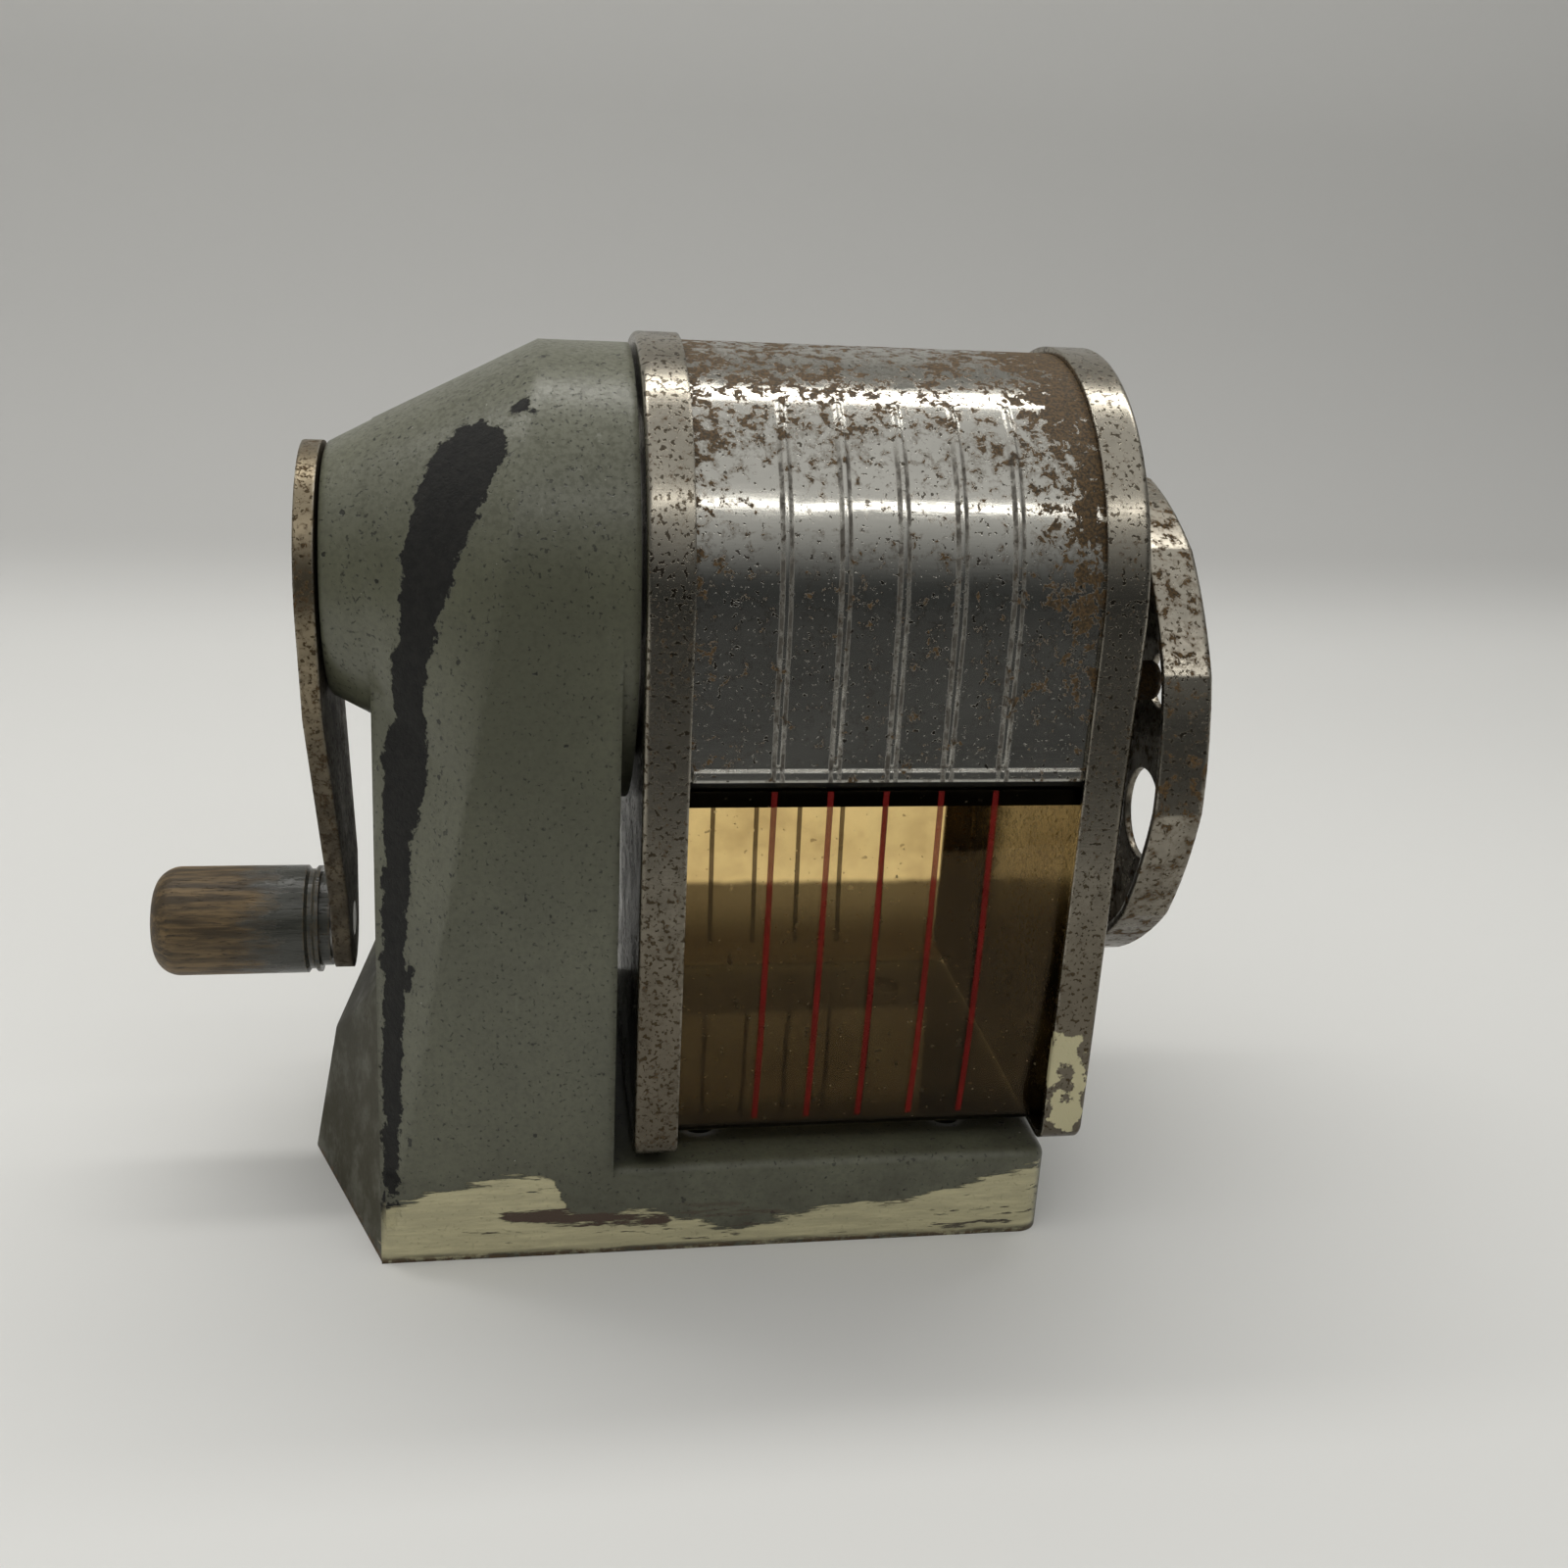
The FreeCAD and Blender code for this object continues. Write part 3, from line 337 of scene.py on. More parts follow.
class Finish:
    """One material with its Principled shader, and the position on the piece in millimetres."""

    def __init__(self, name):
        self.material = bpy.data.materials.new(name)
        self.material.use_nodes = True
        self.tree = self.material.node_tree
        self.tree.nodes.clear()
        self.shader = add(self.tree, "ShaderNodeBsdfPrincipled")
        out = add(self.tree, "ShaderNodeOutputMaterial")
        self.tree.links.new(self.shader.outputs[0], out.inputs["Surface"])
        place = add(self.tree, "ShaderNodeTexCoord")
        self.mm = vectors(self.tree, "MULTIPLY", place.outputs["Object"], (1 / MM,) * 3)
        parts = add(self.tree, "ShaderNodeSeparateXYZ")
        self.tree.links.new(self.mm, parts.inputs[0])
        self.x, self.y, self.z = parts.outputs

    def noise(self, scale, detail, rough, stretch=None):
        """Noise over the piece; stretch scales the position along each axis."""
        where = vectors(self.tree, "MULTIPLY", self.mm, stretch) if stretch else self.mm
        return grain(self.tree, where, scale, detail, rough)

    def flecks(self, scale, level, softness, shift=None):
        where = vectors(self.tree, "ADD", self.mm, shift) if shift else self.mm
        values = dict(Position=where, Scale=scale, Level=level, Softness=softness)
        return place_group(self.tree, fleck_group(), **values)["Mask"]

    def rust(self, amount, pit_scale, patch_scale):
        c = colours()
        values = dict(Position=self.mm, Amount=amount, Pit_Scale=pit_scale, Patch_Scale=patch_scale)
        values.update(Rust=shade(c.rust), Dark_Rust=shade(c.dark_rust))
        return place_group(self.tree, rust_group(), **values)

    def rubbed_edge(self, radius_mm, gaps):
        """Mask of the rubbed edges; more gaps leave less of it."""
        values = dict(Position=self.mm, Radius=radius_mm * MM, Break=gaps)
        return place_group(self.tree, edge_group(), **values)["Mask"]

    def stroke(self, start, end, start_half, end_half):
        """Distance from a stroke between two points on the piece, all in millimetres."""
        values = dict(Position=self.mm, Start=start, End=end, Start_Half=start_half, End_Half=end_half)
        return place_group(self.tree, stroke_group(), **values)["Distance"]

    def set(self, **values):
        for label, value in values.items():
            feed(self.tree, self.shader.inputs[label.replace("_", " ")], value)

    def bump(self, height, depth_mm, round_mm=0.0):
        """Relief from a height, over edges that look rounded by round_mm."""
        made = add(self.tree, "ShaderNodeBump")
        made.inputs["Distance"].default_value = depth_mm * MM
        feed(self.tree, made.inputs["Height"], height)
        if round_mm:
            rounded = add(self.tree, "ShaderNodeBevel", samples=6)
            rounded.inputs["Radius"].default_value = round_mm * MM
            self.tree.links.new(rounded.outputs["Normal"], made.inputs["Normal"])
        self.tree.links.new(made.outputs[0], self.shader.inputs["Normal"])


def coat(names, material):
    """Puts a material on CAD nodes."""
    for name in names:
        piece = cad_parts[name]
        if not piece.material_slots:
            piece.data.materials.append(material)
        for slot in piece.material_slots:
            slot.material = material


# Bare strip on the crank side of the casting, from the top down: point and half width in millimetres
BARE_STRIP = [
    ((-24.6, -18.6, 107.0), 5.0),
    ((-27.4, -21.6, 102.0), 4.7),
    ((-29.6, -23.9, 94.0), 3.7),
    ((-31.6, -24.2, 86.0), 2.8),
    ((-33.0, -22.6, 77.0), 2.9),
    ((-33.3, -22.3, 68.5), 4.0),
    ((-34.5, -23.2, 58.0), 2.5),
    ((-35.3, -24.7, 45.5), 2.2),
    ((-35.7, -26.6, 32.0), 1.9),
    ((-35.9, -28.4, 20.0), 1.6),
    ((-36.4, -30.0, 6.0), 1.1),
]

# Chips beside it: start, end and half width at the start
CHIPS = [
    ((-18.6, -16.6, 113.2), (-17.6, -18.6, 112.4), 1.3),
    ((-33.6, -27.4, 39.5), (-33.2, -27.4, 42.5), 0.5),
    ((-6.0, -30.6, 76.0), (-6.0, -30.6, 74.2), 0.35),
]
CHIP_TAPER = 0.6

# Upper edge of the spilt paint along the front of the foot: place along X and height in millimetres
SPILL_EDGE = [
    (-38.0, 8.5),
    (-31.0, 10.6),
    (-24.0, 12.4),
    (-17.0, 12.8),
    (-13.5, 9.0),
    (-10.0, 5.4),
    (-3.0, 6.8),
    (4.0, 4.6),
    (12.0, 3.4),
    (18.0, 4.6),
    (25.0, 6.2),
    (33.0, 6.4),
    (40.0, 7.6),
    (46.0, 9.6),
    (54.7, 11.0),
]
SPILL_SPAN = 20.0


def bare_distance(f):
    """Ragged distance from the bare strip and the chips."""
    tree = f.tree
    nearest = None
    for (start, start_half), (end, end_half) in zip(BARE_STRIP, BARE_STRIP[1:]):
        away = f.stroke(start, end, start_half, end_half)
        nearest = away if nearest is None else sums(tree, "MINIMUM", nearest, away)
    for start, end, half in CHIPS:
        nearest = sums(tree, "MINIMUM", nearest, f.stroke(start, end, half, half * CHIP_TAPER))
    return shake(tree, nearest, f.noise(0.3, 6.0, 0.72), 5.4)


def spill_top(f):
    """Height of the spilt paint's upper edge along X, from a curve."""
    tree = f.tree
    edge = add(tree, "ShaderNodeFloatCurve")
    points = edge.mapping.curves[0].points
    first, last = SPILL_EDGE[0][0], SPILL_EDGE[-1][0]
    spots = [((x - first) / (last - first), z / SPILL_SPAN) for x, z in SPILL_EDGE]
    points[0].location = spots[0]
    points[-1].location = spots[-1]
    for spot in spots[1:-1]:
        points.new(*spot)
    edge.mapping.update()
    feed(tree, edge.inputs["Value"], ramp(tree, f.x, first, last, 0.0, 1.0))
    return times(tree, edge.outputs[0], SPILL_SPAN)


def spilt_cream(f, colour):
    """Cream paint along the front of the foot, with a trace on the other sides: colour, mask and drag."""
    c = colours()
    tree = f.tree
    drag = f.noise(0.6, 6.0, 0.72, (0.14, 0.6, 1.2))
    top = shake(tree, spill_top(f), drag, 7.0)
    front = between(tree, f.y, -29.0, -30.3)
    under = between(tree, sums(tree, "SUBTRACT", top, f.z), -0.1, 0.35)
    gaps = f.noise(0.75, 5.0, 0.7, (0.09, 0.5, 0.9))
    thin = between(tree, gaps, 0.60, 0.64)
    lower_rim = between(tree, f.z, 1.4, 0.5)
    worn_off = sums(tree, "MAXIMUM", thin, times(tree, lower_rim, between(tree, drag, 0.4, 0.55)))
    spill = times(tree, under, front, rest_of(tree, worn_off))
    trace = between(tree, raised(tree, rest_of(tree, gaps), f.z, 0.035), 0.40, 0.36)
    trace = times(tree, trace, between(tree, f.z, 7.0, 3.0))
    spill = sums(tree, "MAXIMUM", spill, times(tree, trace, 0.75))

    # A brown blot where the cream never took
    blot = f.stroke((-21.0, -30.6, 6.6), (0.5, -30.6, 4.9), 0.9, 0.7)
    blot = between(tree, shake(tree, blot, drag, 6.0), 0.25, -0.15)
    spill = times(tree, spill, rest_of(tree, blot))
    stain = times(tree, front, thin, between(tree, f.z, 9.0, 6.0))
    stain = sums(tree, "MAXIMUM", times(tree, stain, 0.6), times(tree, blot, front))
    colour = blend(tree, stain, colour, shade(c.old_stain))
    streaks = between(tree, drag, 0.35, 0.7)
    cream = blend(tree, streaks, shade(c.spilt_paint, 0.78), shade(c.spilt_paint, 1.06))
    return blend(tree, spill, colour, cream), spill, drag


def housing_paint():
    """Sage enamel with a bare strip, chips, rubbed edges, dust, pale scuffs with a painted highlight up high,
    and a smear of cream paint along the foot.
    """
    c = colours()
    f = Finish("body_paint")
    tree = f.tree
    mottle = f.noise(0.045, 4.0, 0.6)
    fine = f.noise(1.3, 4.0, 0.65)
    paint = blend(tree, between(tree, mottle, 0.35, 0.65), shade(c.paint, 0.89), shade(c.paint, 1.10))
    paint = blend(tree, between(tree, fine, 0.4, 0.72, 0.0, 0.42), paint, shade(c.paint, 0.55))

    # Rubbed edges, pale scuffs and dust, with the scuffs made stronger up high as a painted highlight
    rub = f.rubbed_edge(1.2, 0.5)
    scuff_noise = f.noise(0.5, 5.0, 0.7, (0.6, 0.6, 0.18))
    # Painted highlight: the pale scuffs grow stronger up high, where the lamps catch the top
    high = between(tree, f.z, 98.0, 106.0)
    scuffs_and_sheen = times(tree, between(tree, scuff_noise, 0.62, 0.72), raised(tree, 0.1, high, 0.45))
    pale_wear_and_sheen = sums(tree, "MAXIMUM", times(tree, rub, 0.16), scuffs_and_sheen)
    dusty = times(tree, between(tree, f.z, 92.0, 112.0, 0.0, 0.16), between(tree, fine, 0.62, 0.4))
    paint = blend(tree, sums(tree, "MAXIMUM", pale_wear_and_sheen, dusty), paint, PALE_WEAR_AND_SHEEN)

    # Dark and pale specks
    dots = f.flecks(1.7, 0.655, 0.02)
    dark_specks = sums(tree, "MAXIMUM", f.flecks(0.55, 0.735, 0.012), times(tree, dots, 0.75))
    paint = blend(tree, times(tree, dark_specks, 0.8), paint, shade(c.bare_casting))
    paint = blend(tree, f.flecks(0.85, 0.775, 0.01, (71.0, 13.0, 29.0)), paint, PALE_SPECK)

    # Grime low down and over the pointed end of the foot
    grime_noise = f.noise(0.16, 4.0, 0.65)
    low = between(tree, f.z, 24.0, 0.0)
    grime = times(tree, low, between(tree, grime_noise, 0.36, 0.68))
    paint = blend(tree, times(tree, grime, 0.6), paint, LOW_GRIME)
    tide = shake(tree, f.z, grime_noise, 45.0)
    prow = times(tree, between(tree, f.x, -36.6, -38.6), between(tree, tide, 52.0, 32.0))
    prow = times(tree, prow, between(tree, grime_noise, 0.30, 0.55, 0.6, 0.95))
    paint = blend(tree, prow, paint, FOOT_GRIME)

    # Bare metal, with the paint's lip round it
    ragged = bare_distance(f)
    bare = between(tree, ragged, 0.14, -0.14)
    lip = between(tree, ragged, 0.75, 0.1)
    skin = between(tree, f.noise(0.8, 3.0, 0.6), 0.35, 0.7)
    colour = blend(tree, bare, paint, blend(tree, skin, shade(c.bare_casting), shade(c.bare_casting, 2.1)))

    colour, spill, drag = spilt_cream(f, colour)

    # Rust along the bottom edge
    hem = times(tree, between(tree, f.z, 1.1, 0.2), between(tree, f.noise(0.7, 3.0, 0.6), 0.42, 0.56))
    colour = blend(tree, hem, colour, shade(c.rust))

    rough = ramp(tree, fine, 0.2, 0.8, 0.25, 0.38)
    rough = raised(tree, rough, bare, 0.45)
    rough = raised(tree, rough, grime, 0.2)
    rough = raised(tree, rough, prow, 0.42, clamp=True)
    height = raised(tree, times(tree, lip, 0.12), bare, -1.0)
    height = raised(tree, height, times(tree, bare, f.noise(1.6, 4.0, 0.7)), 0.9)
    height = raised(tree, height, fine, 0.22)
    height = raised(tree, height, spill, raised(tree, 0.7, drag, 0.8))
    height = raised(tree, height, dark_specks, -0.5)
    f.set(Base_Color=colour, Roughness=rough)
    f.bump(height, 0.16, 2.2)
    return f.material


def plated(
    name, base, rust, gloss, dullness, pit_scale, patch_scale, pit_level, edge=0.5, low_shade=0.0, extra=None
):
    """Nickel plate with rust pits, a hazy stain round them, fine rub marks and painted shade darkening it
    towards the foot.

    rust is an amount or a function of the finish; extra may lay more over the colour and the rust mask.
    """
    c = colours()
    f = Finish(name)
    tree = f.tree
    rusty = f.rust(rust(f) if callable(rust) else rust, pit_scale, patch_scale)
    mask = rusty["Mask"]
    cloud = f.noise(0.11, 4.0, 0.65)
    rub = f.noise(1.0, 3.0, 0.6, (0.25, 2.4, 2.4))
    pits = f.flecks(1.5, pit_level, 0.02)
    metal = blend(tree, between(tree, cloud, 0.35, 0.7, 0.0, dullness), shade(base), shade(base, 0.55))
    metal = blend(tree, times(tree, rusty["Haze"], 0.5), metal, RUST_HALO)
    # Painted shade: the plate grows darker towards the foot
    if low_shade:
        metal = blend(tree, between(tree, f.z, 96.0, 34.0, 0.0, low_shade), metal, PLATE_LOW_SHADE)
    metal = blend(tree, times(tree, pits, 0.8), metal, shade(c.dark_rust))
    metal = blend(tree, times(tree, f.rubbed_edge(0.5, 0.35), edge), metal, EDGE_SHINE)
    colour = blend(tree, mask, metal, rusty["Colour"])
    if extra:
        colour, mask = extra(f, colour, mask)
    rough = ramp(tree, cloud, 0.25, 0.75, gloss, gloss + 0.12 + 0.1 * dullness)
    rough = shake(tree, rough, rub, 0.14)
    rough = raised(tree, rough, rusty["Haze"], 0.10)
    rough = raised(tree, rough, mask, 0.45, clamp=True)
    height = raised(tree, times(tree, rusty["Height"], 1.2), pits, -0.25)
    height = raised(tree, height, rub, 0.05)
    f.set(Base_Color=colour, Metallic=rest_of(tree, mask, clamp=True), Roughness=rough)
    f.bump(height, 0.09, 0.6)
    return f.material


def shell_rust(f):
    """More rust over the top of the arch and towards the dial end."""
    tree = f.tree
    top = between(tree, f.z, 101.0, 119.0, 0.0, 0.34)
    end = between(tree, f.x, 40.0, 53.5, 0.0, 0.62)
    end = times(tree, end, between(tree, f.z, 72.0, 104.0, 0.25, 1.0))
    start = between(tree, f.x, 6.0, 0.5, 0.0, 0.24)
    return sums(tree, "ADD", sums(tree, "ADD", sums(tree, "ADD", top, end), start), 0.47)


def ridge_dirt_and_shade(f, colour, mask):
    """Dirt and rust caught along both sides of the pressed ridges, with painted shade there too; the ridges
    stand above the red lines.
    """
    tree = f.tree
    s = sizes()
    low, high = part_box("bin_shell")
    middle = (low.x + high.x) / MM / 2
    pitch = s.line_pitch / MM
    half_row = s.lines / 2 * pitch
    from_middle = sums(tree, "SUBTRACT", f.x, middle)
    away = sums(tree, "ABSOLUTE", sums(tree, "WRAP", from_middle, pitch / 2, -pitch / 2))
    # Dirt and painted shade on both sides of each ridge
    side = times(tree, between(tree, away, 0.16, 0.34), between(tree, away, 0.95, 0.70))
    side = times(tree, side, between(tree, sums(tree, "ABSOLUTE", from_middle), half_row, half_row - 1.0))
    side = times(tree, side, between(tree, f.z, 113.0, 108.0))
    rag = f.noise(0.5, 4.0, 0.65)
    side = times(tree, side, between(tree, rag, 0.36, 0.60, 0.25, 0.9))
    dirt_and_shade = blend(tree, between(tree, rag, 0.4, 0.6), shade(colours().dark_rust), RIDGE_SOIL_AND_SHADE)
    return blend(tree, side, colour, dirt_and_shade), sums(tree, "MAXIMUM", mask, side)


def arm_darkening(f, colour, mask):
    """Brown-black rust, heavier towards the knob, and the arm made darker over its broad faces."""
    tree = f.tree
    shape = add(tree, "ShaderNodeTexCoord")
    facing = add(tree, "ShaderNodeSeparateXYZ")
    tree.links.new(shape.outputs["Normal"], facing.inputs[0])
    # The arm is made darker over its broad faces
    broad = between(tree, sums(tree, "ABSOLUTE", facing.outputs["X"]), 0.6, 0.9, 0.0, 0.75)
    foot = between(tree, f.z, 84.0, 48.0, 0.0, 0.8)
    rag = between(tree, f.noise(0.35, 4.0, 0.65), 0.28, 0.6, 0.6, 1.0)
    amount = times(tree, sums(tree, "MAXIMUM", broad, foot), rag)
    return blend(tree, amount, colour, ARM_DARK), sums(tree, "MAXIMUM", mask, times(tree, amount, 0.8))


def cap_blotch(f, colour, mask):
    """A dab of the cream paint low on the front cap's near side, with a hole in it."""
    tree = f.tree
    rag = f.noise(0.4, 4.0, 0.65)
    dab = f.stroke((54.6, -32.1, 30.0), (55.8, -32.1, 20.0), 3.0, 2.4)
    dab = between(tree, shake(tree, dab, rag, 7.0, 0.47), 0.3, -0.2)
    hole = f.stroke((55.2, -32.1, 26.8), (55.6, -32.1, 22.6), 0.9, 0.8)
    hole = between(tree, shake(tree, hole, rag, -6.0), 0.2, -0.2)
    dab = times(tree, dab, rest_of(tree, hole))
    return blend(tree, dab, colour, shade(colours().spilt_paint)), sums(tree, "MAXIMUM", mask, dab)


def plain_metal(name, base, gloss, rust, skin_stretch=(1.0, 1.0, 1.0), edge_gaps=0.2):
    """Unplated metal: turned or cast skin, a little rust, rubbed edges."""
    c = colours()
    f = Finish(name)
    tree = f.tree
    rusty = f.rust(rust, 0.8, 0.16)
    skin = f.noise(1.3, 4.0, 0.6, skin_stretch)
    cloud = f.noise(0.2, 3.0, 0.6)
    metal = blend(tree, between(tree, cloud, 0.3, 0.7), shade(base, 0.62), shade(base))
    metal = blend(tree, between(tree, skin, 0.55, 0.8, 0.0, 0.5), metal, shade(base, 0.4))
    metal = blend(tree, times(tree, f.rubbed_edge(0.4, edge_gaps), 0.6), metal, shade(base, 1.6))
    metal = blend(tree, times(tree, rusty["Haze"], 0.5), metal, shade(c.rust, 1.2))
    colour = blend(tree, rusty["Mask"], metal, rusty["Colour"])
    rough = raised(tree, gloss, skin, 0.2)
    rough = raised(tree, rough, rusty["Mask"], 0.4, clamp=True)
    height = raised(tree, rusty["Height"], skin, 0.3)
    f.set(Base_Color=colour, Metallic=rest_of(tree, rusty["Mask"], clamp=True), Roughness=rough)
    f.bump(height, 0.07)
    return f.material


def knob_finish():
    """Turned wood, worn bare at the outer end, with grey lacquer left near the arm."""
    c = colours()
    f = Finish("knob_wood")
    tree = f.tree
    knob_low, knob_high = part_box("knob")
    middle = tuple((knob_low + knob_high) / 2 / MM)
    stretch = vectors(tree, "MULTIPLY", vectors(tree, "SUBTRACT", f.mm, middle), (0.10, 1.0, 1.0))
    fibre = grain(tree, stretch, 1.3, 5.0, 0.68, 0.3)
    pores = f.noise(3.4, 3.0, 0.6, (0.16, 1.0, 1.0))
    tone = grain(tree, stretch, 0.55, 4.0, 0.65)
    wood = blend(tree, between(tree, tone, 0.38, 0.64), shade(c.wood, 0.42), shade(c.wood, 1.6))
    wood = blend(tree, between(tree, fibre, 0.5, 0.62, 0.0, 0.75), wood, shade(c.wood_line))
    wood = blend(tree, between(tree, pores, 0.6, 0.7, 0.0, 0.8), wood, shade(c.wood_line, 0.5))
    rag = f.noise(0.8, 5.0, 0.7, (0.3, 1.0, 1.0))
    lacquer = between(tree, shake(tree, f.x, rag, 17.0), -59.0, -51.5)
    lacquer = times(tree, lacquer, between(tree, rag, 0.76, 0.66))
    streak = blend(tree, between(tree, fibre, 0.4, 0.7), shade(c.knob_paint), shade(c.knob_paint, 0.55))
    colour = blend(tree, lacquer, wood, streak)
    colour = blend(tree, times(tree, f.rubbed_edge(0.6, 0.3), 0.55), colour, shade(c.wood))
    height = raised(tree, times(tree, fibre, -0.5), lacquer, 0.7)
    height = raised(tree, height, between(tree, pores, 0.58, 0.7), -0.5)
    f.set(Base_Color=colour, Roughness=ramp(tree, lacquer, 0.0, 1.0, 0.56, 0.25))
    f.bump(height, 0.14)
    return f.material


def window_finish():
    """Clear amber plastic: darker low down and on the far side, dusty and scratched."""
    c = colours()
    f = Finish("amber_window")
    tree = f.tree
    cloud = f.noise(0.07, 4.0, 0.65)
    film = f.noise(0.22, 5.0, 0.65, (1.0, 1.0, 0.35))
    # Darker on the far side below a level line, and low down on both sides
    far = between(tree, f.y, 15.0, 24.0)
    far_line = shake(tree, f.z, film, 1.2)
    far_darkening = times(tree, far, between(tree, far_line, 30.0, 28.8))
    far_darkening = times(tree, far_darkening, between(tree, far_line, 28.6, 19.0, 0.87, 1.0))
    grime = sums(tree, "MAXIMUM", far_darkening, between(tree, far_line, 24.0, 17.0, 0.0, 0.8))
    near_film = between(tree, cloud, 0.42, 0.75, 0.0, 0.5)
    specks = f.flecks(0.7, 0.72, 0.015)
    colour = blend(tree, near_film, shade(c.amber), shade(c.amber_film))
    colour = blend(tree, grime, colour, shade(c.amber_dark))
    colour = blend(tree, times(tree, specks, 0.75), colour, WINDOW_SPECK)
    scratch = f.noise(2.6, 2.0, 0.5, (0.5, 1.0, 0.08))
    rough = raised(tree, 0.02, between(tree, scratch, 0.6, 0.75), 0.04)
    rough = raised(tree, rough, specks, 0.4, clamp=True)
    f.set(Base_Color=colour, Roughness=rough, Transmission_Weight=1.0, IOR=1.3, Specular_Tint=AMBER_SHEEN)
    f.bump(raised(tree, f.noise(0.06, 1.0, 0.4), scratch, 0.004), 0.08)
    return f.material


def line_finish():
    """Thin red paint in hand-filled lines, rubbed through here and there."""
    c = colours()
    f = Finish("red_line_paint")
    tree = f.tree
    wear = f.noise(0.9, 4.0, 0.65)
    tone = f.noise(0.2, 2.0, 0.5)
    colour = blend(tree, between(tree, tone, 0.3, 0.7), shade(c.red_line, 0.7), shade(c.red_line))
    colour = blend(tree, between(tree, wear, 0.62, 0.7, 0.0, 0.75), colour, WORN_LINE)
    f.set(Base_Color=colour, Roughness=ramp(tree, wear, 0.3, 0.7, 0.5, 0.7))
    f.set(Alpha=0.6, Specular_IOR_Level=0.15)
    f.bump(wear, 0.03)
    return f.material


def shaded_rail_finish():
    """Near-black strip with dust in it, kept dark as painted shade of the gap under the shell."""
    f = Finish("shaded_rail_strip")
    tree = f.tree
    dust = f.noise(0.6, 4.0, 0.65)
    colour = blend(tree, between(tree, dust, 0.5, 0.75, 0.0, 0.6), shade(colours().rail_shade), STRIP_DUST)
    f.set(Base_Color=colour, Roughness=ramp(tree, dust, 0.3, 0.7, 0.5, 0.75))
    f.bump(dust, 0.05)
    return f.material


# Red lines of the window

# Outside of the window on the far side, from the CAD: where it starts to tuck in, its belly and its foot
WINDOW_TUCK = (29.8 * MM, 49.05 * MM)
WINDOW_BELLY = (29.28 * MM, 34.925 * MM)
WINDOW_FOOT = (27.2 * MM, 17.8 * MM)
LINE_CLEARANCE = 0.008 * MM
LINE_STEP = 0.9 * MM
BOW_POINTS = 24


def circle_through(a, b, c):
    """Centre of the circle through three points of a plane."""
    d = 2 * (a[0] * (b[1] - c[1]) + b[0] * (c[1] - a[1]) + c[0] * (a[1] - b[1]))
    aa, bb, cc = (p[0] ** 2 + p[1] ** 2 for p in (a, b, c))
    y = (aa * (b[1] - c[1]) + bb * (c[1] - a[1]) + cc * (a[1] - b[1])) / d
    z = (aa * (c[0] - b[0]) + bb * (a[0] - c[0]) + cc * (b[0] - a[0])) / d
    return y, z


def line_tree(material):
    """Geometry Nodes tree of the red lines: one line down the window, repeated along X on both sides."""
    tree = bpy.data.node_groups.new("window_lines", "GeometryNodeTree")
    lengths, points = ("Pitch", "Middle", "Width", "Height"), ("Top", "Tuck", "Belly", "Foot")
    for kind, labels in (("Int", ("Count",)), ("Float", lengths), ("Vector", points)):
        for label in labels:
            tree.interface.new_socket(label, in_out="INPUT", socket_type="NodeSocket" + kind)
    tree.interface.new_socket("Geometry", in_out="OUTPUT", socket_type="NodeSocketGeometry")
    given = add(tree, "NodeGroupInput").outputs
    out = add(tree, "NodeGroupOutput")
    link = tree.links.new

    # One line: a straight run and a bow, swept with a flat bar
    straight = add(tree, "GeometryNodeCurvePrimitiveLine", mode="POINTS")
    link(given["Top"], straight.inputs["Start"])
    link(given["Tuck"], straight.inputs["End"])
    bow = add(tree, "GeometryNodeCurveArc", mode="POINTS")
    bow.inputs["Resolution"].default_value = BOW_POINTS
    link(given["Tuck"], bow.inputs["Start"])
    link(given["Belly"], bow.inputs["Middle"])
    link(given["Foot"], bow.inputs["End"])
    joined = add(tree, "GeometryNodeJoinGeometry")
    link(bow.outputs["Curve"], joined.inputs[0])
    link(straight.outputs[0], joined.inputs[0])
    fine = add(tree, "GeometryNodeResampleCurve", mode="LENGTH")
    fine.inputs["Length"].default_value = LINE_STEP
    link(joined.outputs[0], fine.inputs["Curve"])
    bar = add(tree, "GeometryNodeCurvePrimitiveQuadrilateral", mode="RECTANGLE")
    link(given["Width"], bar.inputs["Width"])
    link(given["Height"], bar.inputs["Height"])
    strip = add(tree, "GeometryNodeCurveToMesh")
    strip.inputs["Fill Caps"].default_value = True
    link(fine.outputs[0], strip.inputs["Curve"])
    link(bar.outputs[0], strip.inputs["Profile Curve"])

    # The row of lines, and the same row turned round to the far side
    first = times(tree, sums(tree, "SUBTRACT", given["Count"], 1.0), -0.5)
    start = add(tree, "ShaderNodeCombineXYZ")
    link(raised(tree, given["Middle"], first, given["Pitch"]), start.inputs[0])
    step = add(tree, "ShaderNodeCombineXYZ")
    link(given["Pitch"], step.inputs[0])
    row = add(tree, "GeometryNodeMeshLine", mode="OFFSET")
    link(given["Count"], row.inputs["Count"])
    link(start.outputs[0], row.inputs["Start Location"])
    link(step.outputs[0], row.inputs["Offset"])
    both = add(tree, "GeometryNodeJoinGeometry")
    for turn in (0.0, math.pi):
        put = add(tree, "GeometryNodeInstanceOnPoints")
        link(row.outputs[0], put.inputs["Points"])
        link(strip.outputs[0], put.inputs["Instance"])
        put.inputs["Rotation"].default_value = (0.0, 0.0, turn)
        link(put.outputs[0], both.inputs[0])
    real = add(tree, "GeometryNodeRealizeInstances")
    link(both.outputs[0], real.inputs[0])
    paint = add(tree, "GeometryNodeSetMaterial")
    paint.inputs["Material"].default_value = material
    link(real.outputs[0], paint.inputs["Geometry"])
    link(paint.outputs[0], out.inputs[0])
    return tree


